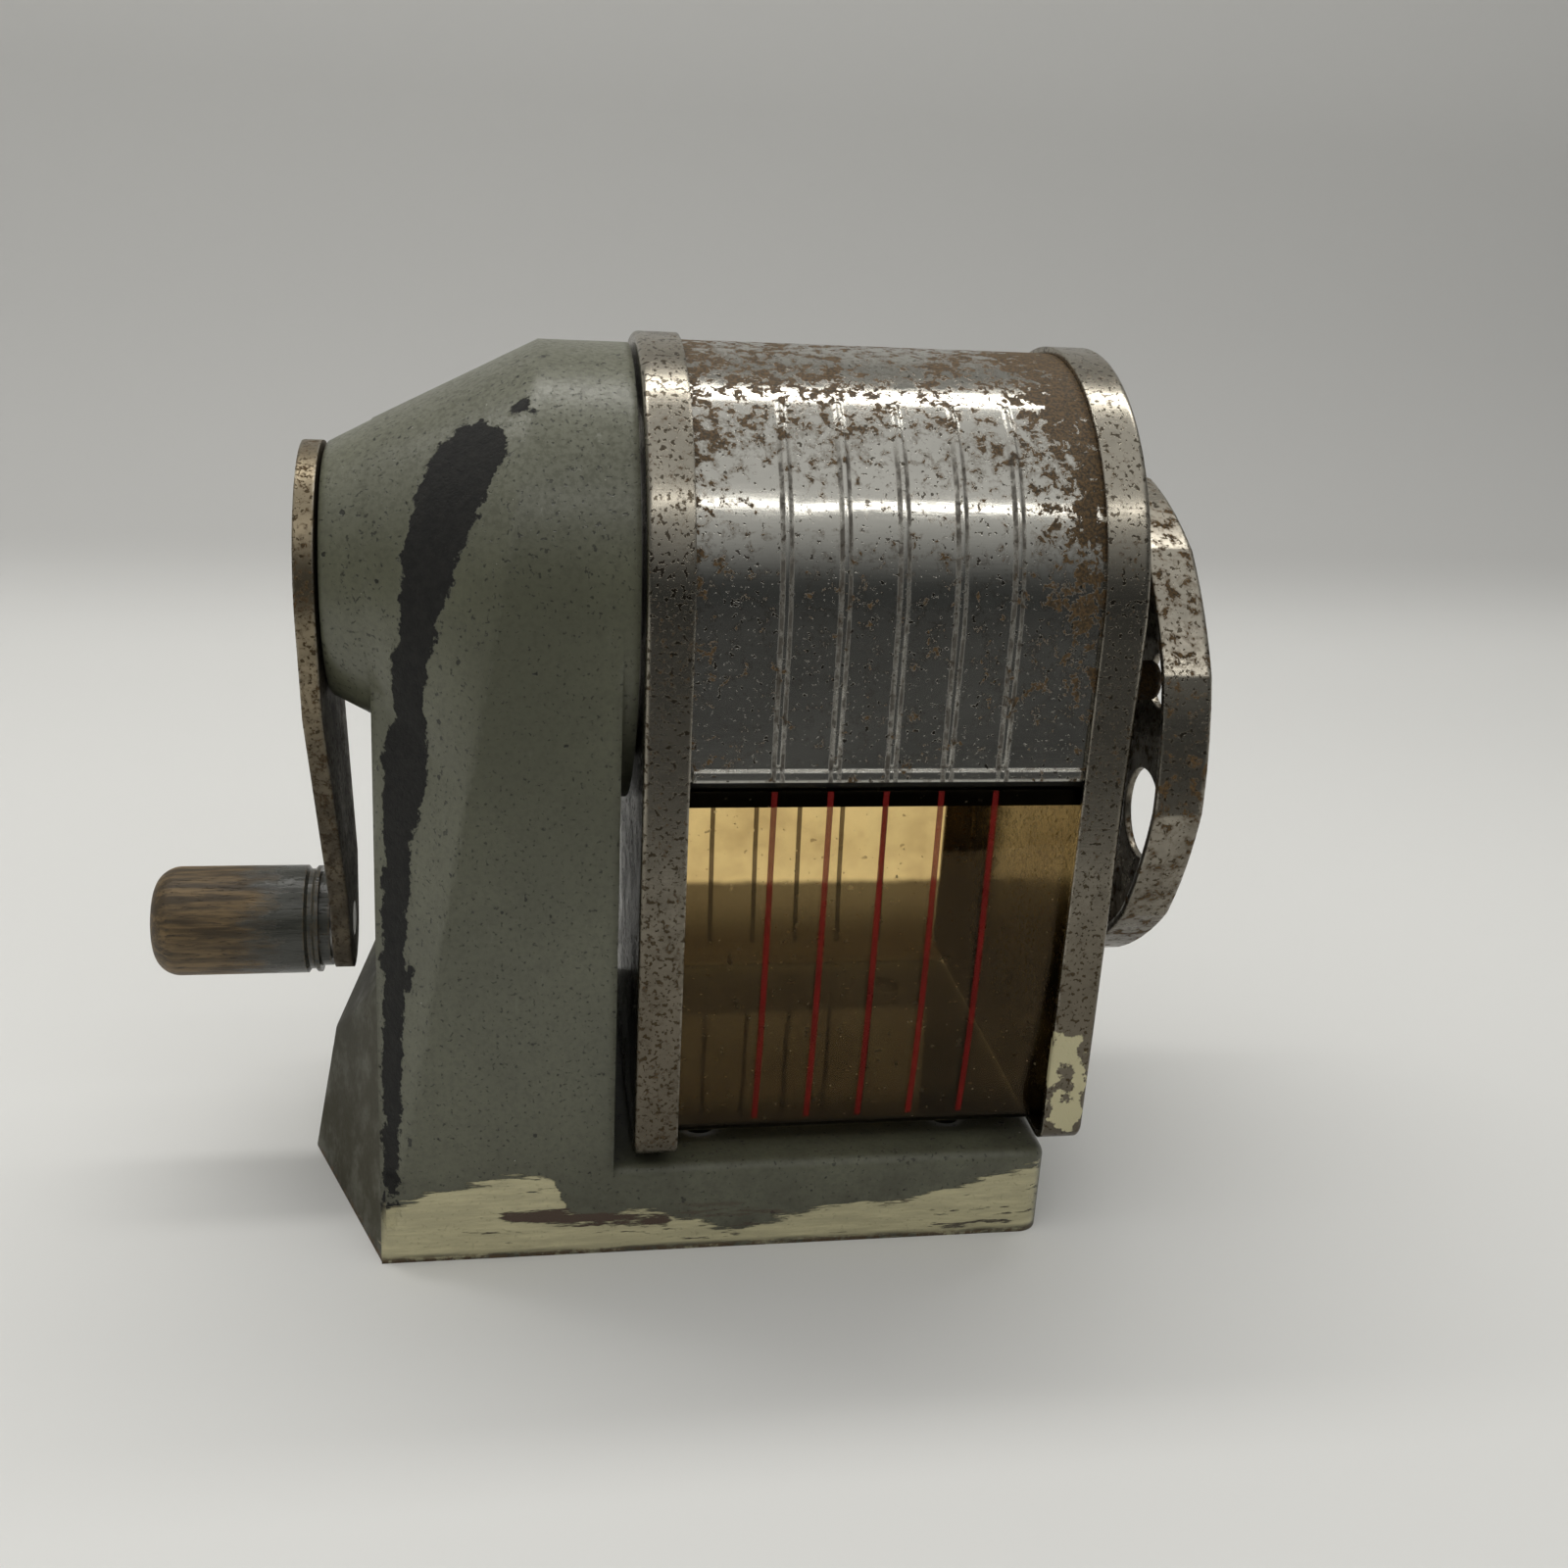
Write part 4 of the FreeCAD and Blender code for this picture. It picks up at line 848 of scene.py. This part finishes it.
def lay_lines():
    """The red lines as one plain mesh."""
    s = sizes()
    material = line_finish()
    low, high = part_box("window")
    proud = s.line_height / 2 + LINE_CLEARANCE
    y, z = circle_through(WINDOW_TUCK, WINDOW_BELLY, WINDOW_FOOT)
    radius = math.dist((y, z), WINDOW_TUCK) + proud
    foot_y = y + math.sqrt(radius ** 2 - (s.line_foot - z) ** 2)
    belly_y = y + math.sqrt(radius ** 2 - (WINDOW_BELLY[1] - z) ** 2)
    tree = line_tree(material)
    seed = bpy.data.meshes.new("window_lines_seed")
    holder = bpy.data.objects.new("window_lines_seed", seed)
    bpy.context.scene.collection.objects.link(holder)
    modifier = holder.modifiers.new("lines", "NODES")
    modifier.node_group = tree
    values = {
        "Count": s.lines,
        "Pitch": s.line_pitch,
        "Middle": (low.x + high.x) / 2,
        "Width": s.line_width,
        "Height": s.line_height,
        "Top": (0.0, -WINDOW_TUCK[0] - proud, s.line_top),
        "Tuck": (0.0, -WINDOW_TUCK[0] - proud, WINDOW_TUCK[1]),
        "Belly": (0.0, -belly_y, WINDOW_BELLY[1]),
        "Foot": (0.0, -foot_y, s.line_foot),
    }
    for socket in tree.interface.items_tree:
        if socket.in_out == "INPUT":
            modifier[socket.identifier] = values[socket.name]
    seen = holder.evaluated_get(bpy.context.evaluated_depsgraph_get())
    plain = bpy.data.meshes.new_from_object(seen)
    plain.name = "window_lines"
    holder.modifiers.remove(modifier)
    bpy.data.objects.remove(holder)
    if not plain.polygons:
        raise RuntimeError("the window lines came out empty")
    if not plain.materials:
        plain.materials.append(material)
    lines = bpy.data.objects.new("window_lines", plain)
    bpy.context.scene.collection.objects.link(lines)
    return lines


# Stage

FLOOR_ROWS = (-3.0, -0.4, 0.0)
BEND_STEPS = 16
WALL_STEPS = 64
CARD_HALF_WIDTH = 2.4
CARD_FRONT, CARD_BACK = -2.9, -0.165
CARD_HEIGHT = 0.002
LAMP_COLOUR = (1.0, 0.985, 0.955)
LAMP_TARGET = (0.05, 0.0, 0.09)

# Camera of the photograph: place in metres, lens in millimetres, angles in degrees
CAMERA_PLACE = (-0.02050, -0.22383, 0.14217)
CAMERA_LENS = 38.216
CAMERA_SENSOR = 36.0
CAMERA_YAW, CAMERA_PITCH, CAMERA_ROLL = 10.046, 20.431, 3.228


def stage_piece(scene, name, points, faces, material):
    """A mesh of the stage, smooth shaded."""
    mesh = bpy.data.meshes.new(name)
    mesh.from_pydata(points, [], faces)
    mesh.shade_smooth()
    mesh.materials.append(material)
    piece = bpy.data.objects.new(name, mesh)
    scene.collection.objects.link(piece)
    return piece


def paper():
    """Matt paper, paler on the floor than at the top, with its light and shade painted in: darker towards the
    back and up the bend.
    """
    c = colours()
    f = Finish("paper_sweep")
    tree = f.tree
    cloud = f.noise(0.004, 2.0, 0.5)
    # Painted light and shade: the floor darkens towards the back, the bend and upright are darker, paler
    # again near the top
    near = blend(tree, between(tree, f.y, -60.0, 260.0), shade(c.floor), shade(c.floor, 0.93))
    upper = blend(tree, between(tree, f.z, 80.0, 210.0), shade(c.backdrop), shade(c.backdrop, 1.14))
    tone = blend(tree, between(tree, f.z, -8.0, 22.0), near, upper)
    tone = blend(tree, between(tree, cloud, 0.3, 0.7, 0.0, 0.06), tone, PAPER_CLOUD)
    f.set(Base_Color=tone, Roughness=0.75, Specular_IOR_Level=0.15)
    return f.material


def paper_sweep(scene):
    """Paper sweep: floor, bend and upright, as one smooth strip."""
    s = sizes()
    profile = [(y, 0.0) for y in (*FLOOR_ROWS, s.sweep_start * 0.6)]
    for i in range(BEND_STEPS + 1):
        angle = math.pi / 2 * i / BEND_STEPS
        out, up = s.sweep_radius * math.sin(angle), s.sweep_radius * (1 - math.cos(angle))
        profile.append((s.sweep_start + out, up))
    profile.append((s.sweep_start + s.sweep_radius, s.sweep_height))
    half = s.sweep_width / 2
    points = [(x, y, z) for y, z in profile for x in (-half, half)]
    faces = [(2 * i, 2 * i + 1, 2 * i + 3, 2 * i + 2) for i in range(len(profile) - 1)]
    stage_piece(scene, "paper_sweep", points, faces, paper())


def paper_wall(scene):
    """A round pale wall behind the views from the sides and the back, which only the camera sees."""
    s = sizes()
    f = Finish("paper_wall")
    cloud = f.noise(0.004, 2.0, 0.5)
    colour = blend(f.tree, cloud, (0.90, 0.90, 0.88, 1.0), (0.86, 0.86, 0.845, 1.0))
    f.set(Base_Color=colour, Roughness=0.8)
    points = []
    faces = []
    for i in range(WALL_STEPS):
        angle = 2 * math.pi * i / WALL_STEPS
        x, y = s.wall_radius * math.cos(angle), s.wall_radius * math.sin(angle)
        points += [(x, y, 0.0), (x, y, s.wall_height)]
        here, ahead = 2 * i, 2 * ((i + 1) % WALL_STEPS)
        faces.append((here, here + 1, ahead + 1, ahead))
    wall = stage_piece(scene, "paper_wall", points, faces, f.material)
    wall.visible_diffuse = False
    wall.visible_glossy = False
    wall.visible_transmission = False
    wall.visible_shadow = False


def dark_card(scene):
    """A dark card in front of the sharpener that only reflections and the plastic see, as a studio flag."""
    f = Finish("dark_card")
    weave = between(f.tree, f.noise(0.02, 3.0, 0.6), 0.3, 0.7)
    colour = blend(f.tree, weave, (0.03, 0.031, 0.032, 1.0), (0.09, 0.092, 0.092, 1.0))
    f.set(Base_Color=colour, Roughness=0.9)
    points = [
        (-CARD_HALF_WIDTH, CARD_FRONT, CARD_HEIGHT),
        (CARD_HALF_WIDTH, CARD_FRONT, CARD_HEIGHT),
        (CARD_HALF_WIDTH, CARD_BACK, CARD_HEIGHT),
        (-CARD_HALF_WIDTH, CARD_BACK, CARD_HEIGHT),
    ]
    card = stage_piece(scene, "dark_card", points, [(0, 1, 2, 3)], f.material)
    card.visible_camera = False
    card.visible_diffuse = False
    card.visible_shadow = False


def strip_lamp(scene, name, power, size, place, target):
    """A rectangular lamp aimed at a point, which the camera doesn't see."""
    data = bpy.data.lights.new(name, "AREA")
    data.shape = "RECTANGLE"
    data.size, data.size_y = size
    data.energy = power
    data.color = LAMP_COLOUR
    lamp = bpy.data.objects.new(name, data)
    lamp.location = place
    lamp.rotation_euler = (Vector(target) - Vector(place)).to_track_quat("-Z", "Y").to_euler()
    lamp.visible_camera = False
    scene.collection.objects.link(lamp)
    return lamp


def sky(scene):
    """Grey tent: darker near the horizon and in front, paler overhead."""
    world = bpy.data.worlds.new("tent")
    scene.world = world
    world.use_nodes = True
    tree = world.node_tree
    tree.nodes.clear()
    place = add(tree, "ShaderNodeTexCoord")
    parts = add(tree, "ShaderNodeSeparateXYZ")
    tree.links.new(place.outputs["Generated"], parts.inputs[0])
    rise = between(tree, parts.outputs["Z"], 0.12, 0.85)
    behind = between(tree, parts.outputs["Y"], -0.5, 0.6)
    side = blend(tree, behind, (0.045, 0.047, 0.047, 1.0), (0.38, 0.38, 0.375, 1.0))
    light = add(tree, "ShaderNodeBackground")
    tree.links.new(blend(tree, rise, side, (0.60, 0.60, 0.59, 1.0)), light.inputs["Color"])
    out = add(tree, "ShaderNodeOutputWorld")
    tree.links.new(light.outputs[0], out.inputs["Surface"])


def photo_camera(scene):
    """Camera at the photograph's view."""
    data = bpy.data.cameras.new("photo_camera")
    data.lens = CAMERA_LENS
    data.sensor_width = CAMERA_SENSOR
    data.clip_start = 0.01
    data.clip_end = 20.0
    yaw, pitch, roll = (math.radians(a) for a in (CAMERA_YAW, CAMERA_PITCH, CAMERA_ROLL))
    ahead = Vector((math.sin(yaw) * math.cos(pitch), math.cos(yaw) * math.cos(pitch), -math.sin(pitch)))
    level = Vector((math.cos(yaw), -math.sin(yaw), 0.0))
    lift = level.cross(ahead)
    right = math.cos(roll) * level + math.sin(roll) * lift
    up = math.cos(roll) * lift - math.sin(roll) * level
    turn = Matrix((right, up, -ahead)).transposed().to_4x4()
    camera = bpy.data.objects.new("photo_camera", data)
    camera.matrix_world = Matrix.Translation(CAMERA_PLACE) @ turn
    scene.collection.objects.link(camera)
    scene.camera = camera


# Operators


class SHARPENER_OT_stage(bpy.types.Operator):
    """Sets up the paper, the strip lamps, the sky and the camera"""

    bl_idname = "sharpener.lay_stage"
    bl_label = "Lay the stage"

    def execute(self, context):
        scene = context.scene
        paper_sweep(scene)
        dark_card(scene)
        paper_wall(scene)
        strip_lamp(scene, "strip_lamp_top", 1.55, (0.9, 0.06), (0.05, 0.16, 0.57), LAMP_TARGET)
        strip_lamp(scene, "strip_lamp_front", 0.34, (0.9, 0.026), (0.05, -0.354, 0.462), LAMP_TARGET)
        fill = strip_lamp(scene, "fill_lamp", 1.6, (0.9, 0.9), (-0.32, 0.16, 0.55), (0.0, 0.0, 0.05))
        fill.visible_glossy = False
        sky(scene)
        photo_camera(scene)
        scene.view_settings.view_transform = "Standard"
        return {"FINISHED"}


class SHARPENER_OT_housing(bpy.types.Operator):
    """Paints the casting"""

    bl_idname = "sharpener.paint_housing"
    bl_label = "Paint the casting"

    def execute(self, context):
        coat(["housing"], housing_paint())
        return {"FINISHED"}


class SHARPENER_OT_crank(bpy.types.Operator):
    """Finishes the crank arm, the shaft, its bearing and the washers"""

    bl_idname = "sharpener.finish_crank"
    bl_label = "Finish the crank"

    def execute(self, context):
        c = colours()
        skin = dict(gloss=0.26, dullness=0.7, pit_scale=1.2, patch_scale=0.12, pit_level=0.62)
        arm = plated("crank_arm_plate", c.arm_plating, rust=0.6, extra=arm_darkening, **skin)
        coat(["crank_arm"], arm)
        steel = plain_metal("turned_steel", c.steel, 0.22, 0.2, (3.0, 0.6, 0.6))
        coat(["crank_shaft", "carrier_pin", "cutter_pins", "gear_screws", "knob_washer", "knob_pin"], steel)
        bronze = plain_metal("bearing_bronze", c.bronze, 0.3, 0.05, (2.0, 0.7, 0.7))
        coat(["shaft_bush", "thrust_washer"], bronze)
        return {"FINISHED"}


class SHARPENER_OT_knob(bpy.types.Operator):
    """Finishes the wooden knob"""

    bl_idname = "sharpener.finish_knob"
    bl_label = "Finish the knob"

    def execute(self, context):
        coat(["knob"], knob_finish())
        return {"FINISHED"}


class SHARPENER_OT_cutters(bpy.types.Operator):
    """Finishes the cutter head and its gears"""

    bl_idname = "sharpener.finish_cutters"
    bl_label = "Finish the cutter head"

    def execute(self, context):
        c = colours()
        cutter = plain_metal("hardened_cutter", c.tool_steel, 0.26, 0.06, (0.6, 2.0, 2.0), edge_gaps=-0.9)
        coat(["cutter_a", "cutter_b"], cutter)
        coat(["pinion_a", "pinion_b", "ring_gear"], plain_metal("gear_steel", c.steel, 0.3, 0.16))
        coat(["cutter_carrier"], plain_metal("cast_carrier", c.zinc, 0.42, 0.1))
        return {"FINISHED"}


class SHARPENER_OT_bin(bpy.types.Operator):
    """Plates the shavings bin and what stands on its front cap"""

    bl_idname = "sharpener.plate_bin"
    bl_label = "Plate the shavings bin"

    def execute(self, context):
        c = colours()
        skin = dict(gloss=0.05, dullness=0.25, pit_scale=0.62, patch_scale=0.10, pit_level=0.66, edge=0.04)
        coat(["bin_shell"], plated("bright_shell", c.plating, rust=shell_rust, extra=ridge_dirt_and_shade, **skin))
        # The caps are darkened towards the foot as painted shade
        cap = dict(base=c.dull_plating, gloss=0.13, pit_scale=1.3, patch_scale=0.10, edge=0.35, low_shade=0.75)
        coat(["rear_cap"], plated("rear_cap_plate", rust=0.42, dullness=0.7, pit_level=0.60, **cap))
        front = dict(rust=0.38, dullness=0.5, pit_level=0.61, extra=cap_blotch)
        coat(["front_cap"], plated("front_cap_plate", **front, **cap))
        # The rail strips are near black as painted shade of the gap under the shell
        coat(["window_rails"], shaded_rail_finish())
        coat(["pencil_guide", "dial_pivot", "dial_washer"], plain_metal("bright_steel", c.steel, 0.2, 0.3))
        coat(["index_post"], plain_metal("rusty_post", shade(c.steel, 0.5), 0.4, 0.95))
        return {"FINISHED"}


class SHARPENER_OT_window(bpy.types.Operator):
    """Colours the window and lays its red lines"""

    bl_idname = "sharpener.glaze_window"
    bl_label = "Glaze the window"

    def execute(self, context):
        coat(["window"], window_finish())
        lines = lay_lines()
        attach(lines, "bin")
        return {"FINISHED"}


class SHARPENER_OT_dial(bpy.types.Operator):
    """Plates the size dial"""

    bl_idname = "sharpener.plate_dial"
    bl_label = "Plate the dial"

    def execute(self, context):
        # The dial is darkened towards the foot as painted shade
        skin = dict(gloss=0.2, dullness=0.8, pit_scale=0.6, patch_scale=0.22, pit_level=0.62, low_shade=0.65)
        coat(["dial"], plated("dial_plate", colours().dull_plating, rust=0.62, **skin))
        return {"FINISHED"}


class SHARPENER_PT_panel(bpy.types.Panel):
    """Lists the steps and the sizes and colours they use"""

    bl_idname = "SHARPENER_PT_panel"
    bl_label = "Pencil sharpener"
    bl_space_type = "VIEW_3D"
    bl_region_type = "UI"
    bl_category = "Sharpener"

    def draw(self, context):
        for step in STEPS:
            self.layout.operator(step.bl_idname)
        for group in (context.scene.sharpener_sizes, context.scene.sharpener_colours):
            box = self.layout.box()
            for key in group.__annotations__:
                box.prop(group, key)


STEPS = (
    SHARPENER_OT_stage,
    SHARPENER_OT_housing,
    SHARPENER_OT_crank,
    SHARPENER_OT_knob,
    SHARPENER_OT_cutters,
    SHARPENER_OT_bin,
    SHARPENER_OT_window,
    SHARPENER_OT_dial,
)
CLASSES = (SharpenerColours, SharpenerSizes, *STEPS, SHARPENER_PT_panel)


def register():
    for made in CLASSES:
        bpy.utils.register_class(made)
    bpy.types.Scene.sharpener_colours = bpy.props.PointerProperty(type=SharpenerColours)
    bpy.types.Scene.sharpener_sizes = bpy.props.PointerProperty(type=SharpenerSizes)


def unregister():
    del bpy.types.Scene.sharpener_sizes
    del bpy.types.Scene.sharpener_colours
    for made in reversed(CLASSES):
        bpy.utils.unregister_class(made)


def main():
    register()
    bpy.ops.sharpener.lay_stage()
    bpy.ops.sharpener.paint_housing()
    bpy.ops.sharpener.finish_crank()
    bpy.ops.sharpener.finish_knob()
    bpy.ops.sharpener.finish_cutters()
    bpy.ops.sharpener.plate_bin()
    bpy.ops.sharpener.glaze_window()
    bpy.ops.sharpener.plate_dial()


if __name__ == "__main__":
    main()
